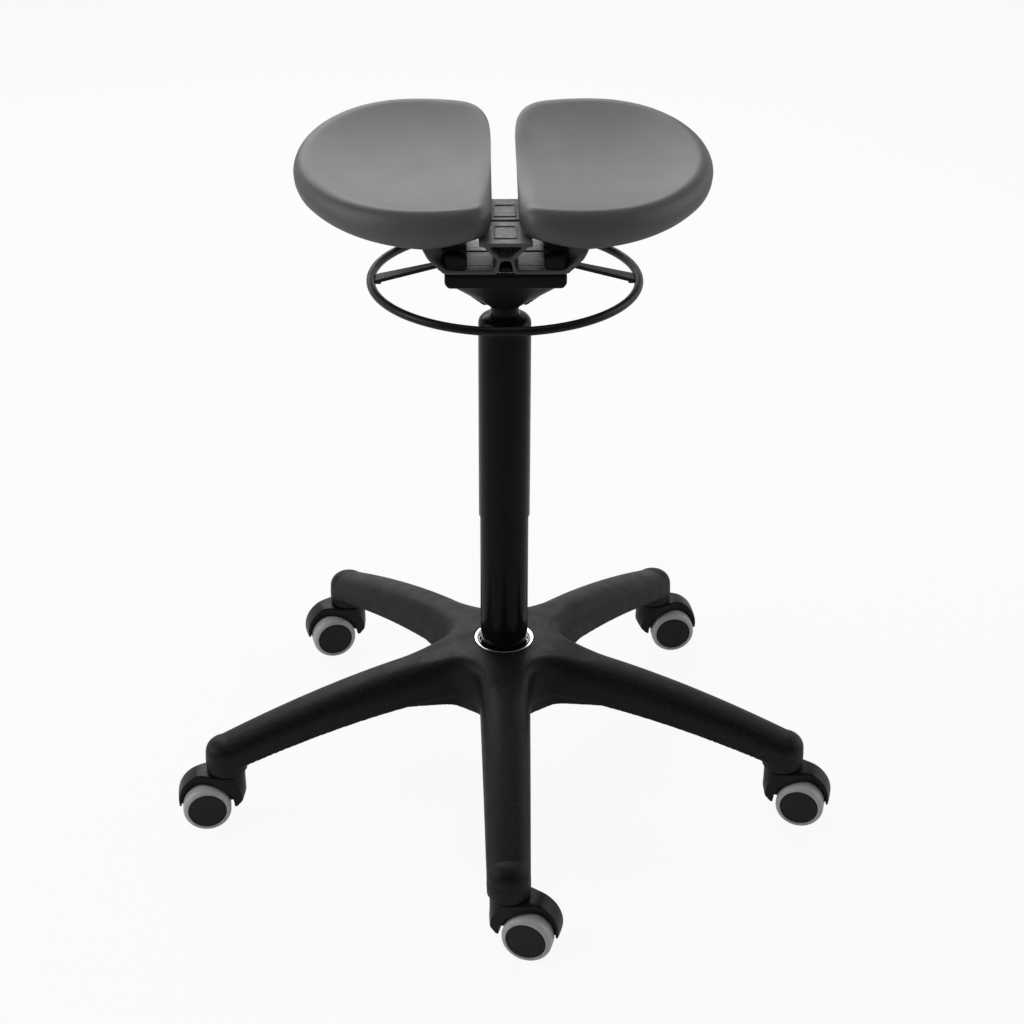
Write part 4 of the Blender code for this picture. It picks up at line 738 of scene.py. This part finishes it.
def make_mounting_plate():
    """Bright plate with shallow grooves, on a black gasket that shows in its seam."""
    low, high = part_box("mounting_plate")
    middle = high.z - PLATE_STEEL
    rib, rib_top = SEAM_RIB_HALF, high.z + 0.1 * MM
    section = [(low.y, low.z), (high.y, low.z), (high.y, middle), (rib, middle), (rib, rib_top),
               (-rib, rib_top), (-rib, middle), (low.y, middle)]
    sections = [[(x, y, z) for y, z in section] for x in (low.x, high.x)]
    gasket = bevelled_loft("plate_gasket", sections, 0.4 * MM)
    place(gasket, "upper", "mount_rubber", BLACK_RUBBER_AND_SHADE)
    # Black block in the shaded channel along the plate's centre: painted shade for the dark there.
    sections = [[(x, y, high.z + z) for x, z in PLATE_SHADE_BLOCK] for y in (low.y, high.y)]
    shade_block = bevelled_loft("plate_centre_shade_block", sections, 0.6 * MM)
    place(shade_block, "upper", "mount_rubber", BLACK_RUBBER_AND_SHADE)
    front, back = low.y + PLATE_INSET, high.y - PLATE_INSET
    outline = [(front, middle), (front, high.z)]
    for groove_y, half, depth in PLATE_GROOVES:
        outline += [(groove_y - half, high.z), (groove_y - half, high.z - depth),
                    (groove_y + half, high.z - depth), (groove_y + half, high.z)]
    outline += [(back, high.z), (back, middle)]
    sections = [[(x, y, z) for y, z in outline] for x in (low.x + PLATE_INSET, high.x - PLATE_INSET)]
    plate = bevelled_loft("mounting_plate_steel", sections, 0.25 * MM)
    place(plate, "upper", "zinc_steel", BRUSHED, "mounting_plate")


# Release ring

RING_OUTER_R = 0.1349
RING_ROD_R = 0.00425
RING_Z = 0.5712
SPOKE_THICK = 0.0035
SPOKE_ROOT_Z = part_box("lever_plate")[0].z + 2.5 * MM + 0.3 * MM + SPOKE_THICK
SPOKE_STATIONS = ((0.0280, 0.0040, SPOKE_ROOT_Z), (0.0460, 0.0040, SPOKE_ROOT_Z),
                  (0.1265, 0.0090, RING_Z + 1.6 * MM))
CLIP_X = (0.1205, 0.1290)
CLIP_HALF_Y = 0.0032
CLIP_Z = (RING_Z - 4.6 * MM, RING_Z - 1.2 * MM)


def torus(name, ring_r, rod_r, height, steps=192, sides=20):
    points, faces = [], []
    for step in range(steps):
        angle = tau * step / steps
        for turn in range(sides):
            spin = tau * turn / sides
            radius = ring_r + rod_r * cos(spin)
            points.append((radius * cos(angle), radius * sin(angle), height + rod_r * sin(spin)))
    for step in range(steps):
        for turn in range(sides):
            after, beside = (step + 1) % steps, (turn + 1) % sides
            faces.append([step * sides + turn, after * sides + turn,
                          after * sides + beside, step * sides + beside])
    mesh = mesh_of(name, points, faces)
    outward(mesh)
    return mesh


def make_release_ring():
    ring_r = RING_OUTER_R - RING_ROD_R
    ring = new_object("release_ring_rod", torus("release_ring_rod", ring_r, RING_ROD_R, RING_Z))
    place(ring, "lever", "ring_metal", RING_PAINT, "release_ring")
    for label, side in (("left", -1), ("right", 1)):
        sections = [quad(side * x, half, top - SPOKE_THICK, top) for x, half, top in SPOKE_STATIONS]
        spoke = bevelled_loft(f"ring_spoke_{label}", sections, 0.6 * MM)
        place(spoke, "lever", "ring_metal", RING_PAINT)
        sections = [quad(side * x, CLIP_HALF_Y, *CLIP_Z) for x in CLIP_X]
        clip = bevelled_loft(f"ring_clip_{label}", sections, 0.8 * MM, 3)
        place(clip, "lever", "ring_metal", HOUSING_PAINT)


# Seat carriers

CARRIER_HALF_Y = 0.0620
CARRIER_GAP_HALF = 0.0020
CARRIER_WALL = 0.0034
CARRIER_FLOOR_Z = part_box("front_carrier")[0].z
CARRIER_PATH = ((100.0, 622.6), (80.0, 622.6), (62.0, 605.8), (58.6, 602.7), (54.0, 601.3),
                (11.0, 601.3), (8.8, 603.4), (5.9, 614.2), (9.6, 618.0), (20.2, 628.4))
BOWL_FOOT = 7
TONGUE_HALF_X = 0.0255
TONGUE_TOP_Z = 0.6307
TONGUE_LOW_Z = 0.6270
WING_HALF_Y = 0.0360
WING_STEP_X = (0.0720, 0.0860)
WINDOW_X = 0.0245
WINDOW_HALF_X = 0.0125
CARRIER_SCREW_AT = (0.0495, 0.0480)
SEAT_SCREW_AT = (0.0910, 0.0190)


def segment_distance(x, z, start, end):
    ax, az = start
    bx, bz = end
    along = ((x - ax) * (bx - ax) + (z - az) * (bz - az)) / ((bx - ax) ** 2 + (bz - az) ** 2)
    along = np.clip(along, 0.0, 1.0)
    return np.hypot(x - ax - along * (bx - ax), z - az - along * (bz - az))


def carrier_shape(x, y, z):
    """Front carrier, folded about x = 0."""
    side, deep = np.abs(x), -y
    path = [(a * MM, b * MM) for a, b in CARRIER_PATH]
    wall = None
    for start, end in zip(path, path[1:]):
        piece = segment_distance(side, z, start, end) - CARRIER_WALL / 2
        wall = piece if wall is None else soft_min(wall, piece, 2.5 * MM)
    bridge = segment_distance(side, z, (0.0, 614.8 * MM), path[BOWL_FOOT]) - CARRIER_WALL / 2
    body = soft_min(wall, bridge, 2 * MM)
    tongue = np.maximum(TONGUE_LOW_Z - z, z - TONGUE_TOP_Z)
    tongue = soft_max(side - TONGUE_HALF_X, tongue, 1.2 * MM)
    body = soft_min(body, tongue, 3 * MM)
    body = np.maximum(body, z - TONGUE_TOP_Z)
    body = np.maximum(body, CARRIER_FLOOR_Z - z)
    half_y = between(CARRIER_HALF_Y, WING_HALF_Y, ease(side, *WING_STEP_X))
    body = soft_max(body, deep - half_y, 2.5 * MM)
    body = soft_max(body, CARRIER_GAP_HALF - deep, 0.6 * MM)
    window = np.abs(side - WINDOW_X) - WINDOW_HALF_X
    window = soft_max(window, deep - CARRIER_HALF_Y + 5.5 * MM, 2 * MM)
    window = np.maximum(window, np.maximum(-5 * MM - deep, z - CARRIER_FLOOR_Z - 4.7 * MM))
    body = soft_max(body, -window, 0.8 * MM)
    hole = np.hypot(side - CARRIER_SCREW_AT[0], deep - CARRIER_SCREW_AT[1]) - 3.3 * MM
    seat_hole = np.hypot(side - SEAT_SCREW_AT[0], deep - SEAT_SCREW_AT[1]) - 2.8 * MM
    return np.maximum(body, -np.minimum(hole, seat_hole))


def make_carriers():
    mesh = skin("front_seat_carrier", carrier_shape, (-106 * MM, -66 * MM, 596 * MM),
                (106 * MM, 2 * MM, 634 * MM), 1.2 * MM)
    front = new_object("front_seat_carrier", mesh, sharp=radians(60))
    rear_mesh = mesh.copy()
    rear_mesh.transform(Matrix.Diagonal((1, -1, 1, 1)))
    rear_mesh.flip_normals()
    rear = new_object("rear_seat_carrier", rear_mesh, sharp=radians(60))
    place(front, "upper", "carrier_metal", CAST_GREY, "front_carrier")
    place(rear, "upper", "carrier_metal", CAST_GREY, "rear_carrier")


BADGE_HALF_X = 0.0110
BADGE_Y = {"front": (-0.0485, -0.0155), "rear": (0.0100, 0.0430)}
BADGE_SECTION = ((0.0, -0.0002), (0.0, 0.0007), (0.0003, 0.0009), (0.0010, 0.0009),
                 (0.0013, 0.0007), (0.0013, -0.0002))


def make_badge_frames():
    """Bare raised frames on the two tongues."""
    for label, (front, back) in BADGE_Y.items():
        sections = []
        for inward, lift in BADGE_SECTION:
            half, z = BADGE_HALF_X - inward, TONGUE_TOP_Z + lift
            sections.append([(-half, front + inward, z), (half, front + inward, z),
                             (half, back - inward, z), (-half, back - inward, z)])
        points = [point for section in sections for point in section]
        faces = []
        for level in range(len(sections)):
            here, after = level * 4, (level + 1) % len(sections) * 4
            for step in range(4):
                beside = (step + 1) % 4
                faces.append([here + step, here + beside, after + beside, after + step])
        mesh = mesh_of(f"{label}_badge_frame", points, faces)
        outward(mesh)
        place(new_object(f"{label}_badge_frame", mesh), "upper", "carrier_metal", CAST_GREY)


MOUNT_AT = (0.0468, 0.0398)
MOUNT_HALF = (0.0098, 0.0198)
MOUNT_HEIGHT = 0.0116
MOUNT_BOSS_R = 0.0112
MOUNT_BOSS_Z = 0.6160
MOUNT_BORES = ((0.0033, 0.0), (0.0049, 0.6095), (0.0072, 0.6128))


def mount_shape(x, y, z):
    """Rubber mount, folded about x = 0 and y = 0; its black pad also spreads over the carrier floor,
    standing in for the shade there: painted shade.
    """
    side, deep = np.abs(x), np.abs(y)
    low = CARRIER_FLOOR_Z + CARRIER_WALL + 0.3 * MM
    from_sides = np.abs(side - MOUNT_AT[0]) - MOUNT_HALF[0]
    # Black pad over the carrier floor: partly the mount's own block, partly painted shade for the
    # unlit floor.
    pad = soft_max(from_sides, np.abs(deep - MOUNT_AT[1]) - MOUNT_HALF[1], 3 * MM)
    pad = soft_max(pad, np.maximum(low - z, z - low - MOUNT_HEIGHT), 1.5 * MM)
    from_screw = np.hypot(side - CARRIER_SCREW_AT[0], deep - CARRIER_SCREW_AT[1])
    boss = np.maximum(low + 4 * MM - z, z - MOUNT_BOSS_Z)
    whole = soft_min(pad, soft_max(from_screw - MOUNT_BOSS_R, boss, 1.5 * MM), 2 * MM)
    bores = [np.maximum(from_screw - radius, start_z - z) for radius, start_z in MOUNT_BORES]
    return soft_max(whole, -np.minimum.reduce(bores), 0.8 * MM)


def make_rubber_mounts():
    for label, side, end in (("front_left", -1, -1), ("front_right", 1, -1),
                             ("rear_left", -1, 1), ("rear_right", 1, 1)):
        low = (min(side * 34, side * 66) * MM, min(end * 16, end * 62) * MM, 602 * MM)
        high = (max(side * 34, side * 66) * MM, max(end * 16, end * 62) * MM, 619 * MM)
        mesh = skin(f"{label}_mount_rubber", mount_shape, low, high, 0.9 * MM)
        mount = new_object(f"{label}_mount_rubber", mesh, sharp=radians(50))
        place(mount, "upper", "mount_rubber", BLACK_RUBBER_AND_SHADE, f"{label}_rubber_mount")


# Seat

GAP_HALF = 0.0126
PAD_OUTLINE = (
    (GAP_HALF, -0.0180), (GAP_HALF, 0.0300), (GAP_HALF, 0.0950),
    (GAP_HALF, 0.1560), (0.0172, 0.1940), (0.0310, 0.2195),
    (0.0560, 0.2325), (0.0860, 0.2375), (0.1220, 0.2335), (0.1570, 0.2155),
    (0.1860, 0.1825), (0.2040, 0.1390), (0.2090, 0.0900), (0.2000, 0.0450),
    (0.1810, 0.0090), (0.1545, -0.0225), (0.1205, -0.0470), (0.0800, -0.0610),
    (0.0420, -0.0615), (0.0215, -0.0525), (0.0138, -0.0370),
)
PAD_STEPS = 8
PAD_DISH = (0.1000, 0.0300, 0.6520)
PAD_BACK_RISE, PAD_BACK_REACH = 0.0290, 0.2000
PAD_FRONT_RISE, PAD_FRONT_REACH = 0.0060, 0.0750
PAD_OUTER_RISE, PAD_INNER_RISE, PAD_SIDE_REACH = 0.0080, 0.0050, 0.0900
PAD_RIM_Z = (0.6313, 0.6230)
PAD_RIM_X = (0.0200, 0.0800)
PAD_RIM_Y = (-0.0600, 0.2400)
PAD_RIM_CLIMB = 0.0380
PAD_UNDER_END_Y = 0.2350
PAD_UNDER_CLIMB = 0.0290
PAD_EDGE_HEIGHT = 0.0110
PAD_UNDER_ROLL = 0.0055
PAD_TOP_ROLL = 0.0170
PAD_RECESS = 0.0210
SHELL_TOP_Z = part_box("seat_shell_left")[1].z
SHELL_BACK_Y = 0.1180


def pad_outline():
    """Closed smooth curve through the outline's points, for the half at +X."""
    points = np.array(PAD_OUTLINE)
    count = len(points)
    curve = []
    for index in range(count):
        before, start = points[index - 1], points[index]
        end, after = points[(index + 1) % count], points[(index + 2) % count]
        for step in range(PAD_STEPS):
            t = step / PAD_STEPS
            curve.append(0.5 * (2 * start + (end - before) * t
                                + (2 * before - 5 * start + 4 * end - after) * t ** 2
                                + (3 * start - before - 3 * end + after) * t ** 3))
    curve = np.array(curve)
    for _ in range(3):
        curve = 0.25 * np.roll(curve, 1, 0) + 0.5 * curve + 0.25 * np.roll(curve, -1, 0)
    return curve


def inset(curve, distance):
    middle = curve.mean(axis=0)
    along = np.roll(curve, -1, 0) - np.roll(curve, 1, 0)
    along /= np.linalg.norm(along, axis=1)[:, None]
    inward = np.stack([along[:, 1], -along[:, 0]], axis=1)
    ray = middle - curve
    ray /= np.linalg.norm(ray, axis=1)[:, None]
    reach = distance / np.maximum((ray * inward).sum(axis=1), 0.6)
    return curve + ray * reach[:, None]


def pad_top(x, y):
    back = np.clip((y - PAD_DISH[1]) / PAD_BACK_REACH, 0.0, 1.2)
    front = np.clip((PAD_DISH[1] - y) / PAD_FRONT_REACH, 0.0, 1.2)
    side = (x - PAD_DISH[0]) / PAD_SIDE_REACH
    side_rise = np.where(side > 0, PAD_OUTER_RISE, PAD_INNER_RISE) * side ** 2
    return PAD_DISH[2] + PAD_BACK_RISE * back ** 2 + PAD_FRONT_RISE * front ** 2 + side_rise


def pad_under(y):
    share = np.clip((y - SHELL_BACK_Y) / (PAD_UNDER_END_Y - SHELL_BACK_Y), 0.0, None)
    return SHELL_TOP_Z + 0.3 * MM + PAD_UNDER_CLIMB * share


def pad_edge(x, y):
    rim = between(*PAD_RIM_Z, ease(x, *PAD_RIM_X))
    along = np.clip((y - PAD_RIM_Y[0]) / (PAD_RIM_Y[1] - PAD_RIM_Y[0]), 0.0, 1.0)
    return rim + PAD_EDGE_HEIGHT + PAD_RIM_CLIMB * along ** 1.2


def pad_sections():
    outline = pad_outline()
    edge = pad_edge(outline[:, 0], outline[:, 1])
    rim = np.minimum(edge - PAD_EDGE_HEIGHT, pad_under(outline[:, 1]))
    recess = inset(outline, PAD_RECESS)
    middle = outline.mean(axis=0)
    rings = []
    for scale in (0.25, 0.6, 0.9, 0.985):
        points = middle + (recess - middle) * scale
        rings.append((points, pad_under(points[:, 1])))
    rings.append((recess, pad_under(recess[:, 1])))
    for distance, lift in ((19.5, 0.5), (18.0, 0.1), (13.0, 0.0), (PAD_UNDER_ROLL / MM + 1.0, 0.0)):
        rings.append((inset(outline, distance * MM), rim + lift * MM))
    for step in range(1, 9):
        share = 1 - step / 8
        drop = (1 - (1 - share) ** 2) ** 0.5
        rings.append((inset(outline, PAD_UNDER_ROLL * share), between(edge, rim, drop)))
    for step in range(1, 13):
        share = 1 - cos(pi / 2 * step / 12)
        points = inset(outline, PAD_TOP_ROLL * share)
        rise = (1 - (1 - share) ** 2) ** 0.5
        rings.append((points, between(edge, pad_top(points[:, 0], points[:, 1]), rise)))
    top = inset(outline, PAD_TOP_ROLL)
    for scale in (0.93, 0.82, 0.68, 0.52, 0.36, 0.2, 0.07):
        points = middle + (top - middle) * scale
        rings.append((points, pad_top(points[:, 0], points[:, 1])))
    return rings, middle


def make_pads():
    rings, middle = pad_sections()
    count = len(rings[0][0])
    for label, side in (("left", -1), ("right", 1)):
        points = [(side * x, y, z) for ring, heights in rings for (x, y), z in zip(ring, heights)]
        points.append((side * middle[0], middle[1], float(pad_under(middle[1]))))
        points.append((side * middle[0], middle[1], float(pad_top(*middle))))
        under, top = len(points) - 2, len(points) - 1
        faces = []
        for low in range(0, (len(rings) - 1) * count, count):
            for step in range(count):
                after = (step + 1) % count
                faces.append([low + step, low + after, low + count + after, low + count + step])
        last = (len(rings) - 1) * count
        for step in range(count):
            after = (step + 1) % count
            faces.append([under, after, step])
            faces.append([top, last + step, last + after])
        mesh = mesh_of(f"seat_cushion_{label}", points, faces)
        outward(mesh)
        pad = new_object(f"seat_cushion_{label}", mesh, sharp=None)
        place(pad, "upper", "seat_foam", SEAT_SKIN, f"seat_pad_{label}")


# Carried-over nodes

def dress_nodes():
    for name, thing in nodes.items():
        if thing.hide_render:
            continue
        if name == "guide_bush":
            finish = BUSH_ACETAL
        elif name.startswith("seat_shell"):
            finish = SHELL_PLASTIC
        elif name.endswith("_rubber_mount"):
            finish = BLACK_RUBBER_AND_SHADE
        elif name.endswith("_carrier_screw"):
            finish = HOUSING_PAINT
        else:
            finish = ZINC
        thing.data.materials.clear()
        thing.data.materials.append(finish)


# Studio

FILL_LEVEL = 0.25
FRONT_LEVEL = 0.15
CEILING_LEVEL = 0.10
FRONT_SPAN = (-0.75, 0.05)
CEILING_SPAN = (0.42, 0.80)
FLOOR_GLOW = {"Camera": 0.92, "Transmission": 0.92, "Glossy": 0.20}
SOFTBOXES = (
    ("rear_softbox", (-0.5, 2.3, 2.0), (0, 0, 0.5), (2.0, 1.2), 27),
    ("top_softbox", (0.0, 0.1, 2.7), (0, 0, 0.5), (2.0, 1.4), 5),
    ("left_softbox", (-2.3, -0.3, 1.5), (0, 0, 0.4), (1.2, 1.8), 16),
    ("right_softbox", (2.3, 0.6, 1.3), (0, 0, 0.4), (1.2, 1.8), 7),
)


def make_camera():
    a, p, roll = CAMERA_TURN, CAMERA_PITCH, CAMERA_ROLL
    forward = Vector((-sin(a) * cos(p), cos(a) * cos(p), -sin(p)))
    right = Vector((cos(a), sin(a), 0))
    up = right.cross(forward)
    rolled_right = right * cos(roll) + up * sin(roll)
    rolled_up = up * cos(roll) - right * sin(roll)
    data = bpy.data.cameras.new("camera")
    data.lens = CAMERA_LENS
    data.sensor_width = CAMERA_SENSOR
    data.clip_end = 30.0
    camera = bpy.data.objects.new("camera", data)
    bpy.context.scene.collection.objects.link(camera)
    rows = Matrix((rolled_right, rolled_up, -forward)).transposed().to_4x4()
    camera.matrix_world = Matrix.Translation(CAMERA_AT) @ rows
    bpy.context.scene.camera = camera


def area_light(name, at, aim, size, power):
    data = bpy.data.lights.new(name, "AREA")
    data.shape = "RECTANGLE"
    data.size, data.size_y = size
    data.energy = power
    light = bpy.data.objects.new(name, data)
    light.location = at
    light.rotation_euler = (Vector(aim) - Vector(at)).to_track_quat("-Z", "Y").to_euler()
    bpy.context.scene.collection.objects.link(light)


def ray_share(tree, **shares):
    """The highest share among the kinds of ray that apply, named as Light Path names them."""
    path = tree.nodes.new("ShaderNodeLightPath")
    total = None
    for kind, share in shares.items():
        scaled = tree.nodes.new("ShaderNodeMath")
        scaled.operation = "MULTIPLY"
        scaled.inputs[1].default_value = share
        tree.links.new(path.outputs[f"Is {kind} Ray"], scaled.inputs[0])
        if total is None:
            total = scaled.outputs[0]
            continue
        highest = tree.nodes.new("ShaderNodeMath")
        highest.operation = "MAXIMUM"
        tree.links.new(total, highest.inputs[0])
        tree.links.new(scaled.outputs[0], highest.inputs[1])
        total = highest.outputs[0]
    return total


def faded(tree, value, start, end, low, high):
    span = tree.nodes.new("ShaderNodeMapRange")
    span.interpolation_type = "SMOOTHSTEP"
    span.inputs["From Min"].default_value = start
    span.inputs["From Max"].default_value = end
    span.inputs["To Min"].default_value = low
    span.inputs["To Max"].default_value = high
    tree.links.new(value, span.inputs["Value"])
    return span.outputs["Result"]


def mixed(tree, share, first, second):
    mix = tree.nodes.new("ShaderNodeMixShader")
    tree.links.new(share, mix.inputs["Fac"])
    tree.links.new(first, mix.inputs[1])
    tree.links.new(second, mix.inputs[2])
    return mix.outputs[0]


def make_world():
    """White cove behind and beside the object; the room's front and ceiling are darker."""
    world = bpy.data.worlds.new("studio")
    world.use_nodes = True
    bpy.context.scene.world = world
    tree = world.node_tree
    fill = tree.nodes["Background"]
    fill.inputs["Color"].default_value = (1, 1, 1, 1)
    fill.inputs["Strength"].default_value = FILL_LEVEL
    backdrop = tree.nodes.new("ShaderNodeBackground")
    backdrop.inputs["Strength"].default_value = 1.0
    cove = tree.nodes.new("ShaderNodeBackground")
    split = tree.nodes.new("ShaderNodeSeparateXYZ")
    tree.links.new(tree.nodes.new("ShaderNodeTexCoord").outputs["Generated"], split.inputs[0])
    level = tree.nodes.new("ShaderNodeMath")
    level.operation = "MULTIPLY"
    front = faded(tree, split.outputs["Y"], *FRONT_SPAN, FRONT_LEVEL, 1.0)
    ceiling = faded(tree, split.outputs["Z"], *CEILING_SPAN, 1.0, CEILING_LEVEL)
    tree.links.new(front, level.inputs[0])
    tree.links.new(ceiling, level.inputs[1])
    tree.links.new(level.outputs[0], cove.inputs["Strength"])
    lit = mixed(tree, ray_share(tree, Glossy=1.0), fill.outputs[0], cove.outputs[0])
    seen = mixed(tree, ray_share(tree, Camera=1.0, Transmission=1.0), lit, backdrop.outputs[0])
    tree.links.new(seen, tree.nodes["World Output"].inputs["Surface"])


def make_floor():
    points = [(-8, -8, 0), (8, -8, 0), (8, 8, 0), (-8, 8, 0)]
    floor = new_object("studio_floor", mesh_of("studio_floor", points, [(0, 1, 2, 3)]), sharp=None)
    material = bpy.data.materials.new("studio_floor_white")
    material.use_nodes = True
    tree = material.node_tree
    shader = tree.nodes["Principled BSDF"]
    shader.inputs["Base Color"].default_value = (0.93, 0.93, 0.93, 1)
    shader.inputs["Roughness"].default_value = 0.9
    shader.inputs["Specular IOR Level"].default_value = 0.1
    glow = tree.nodes.new("ShaderNodeEmission")
    glow.inputs["Strength"].default_value = 1.0
    share = ray_share(tree, **FLOOR_GLOW)
    white = mixed(tree, share, shader.outputs[0], glow.outputs[0])
    tree.links.new(white, tree.nodes["Material Output"].inputs["Surface"])
    floor.data.materials.append(material)


def make_studio():
    bpy.context.scene.view_settings.view_transform = "Standard"
    make_world()
    make_floor()
    for softbox in SOFTBOXES:
        area_light(*softbox)


make_camera()
make_star_base()
make_column()
make_casters()
make_housing()
make_mounting_plate()
make_release_ring()
make_carriers()
make_badge_frames()
make_rubber_mounts()
make_pads()
dress_nodes()
make_studio()
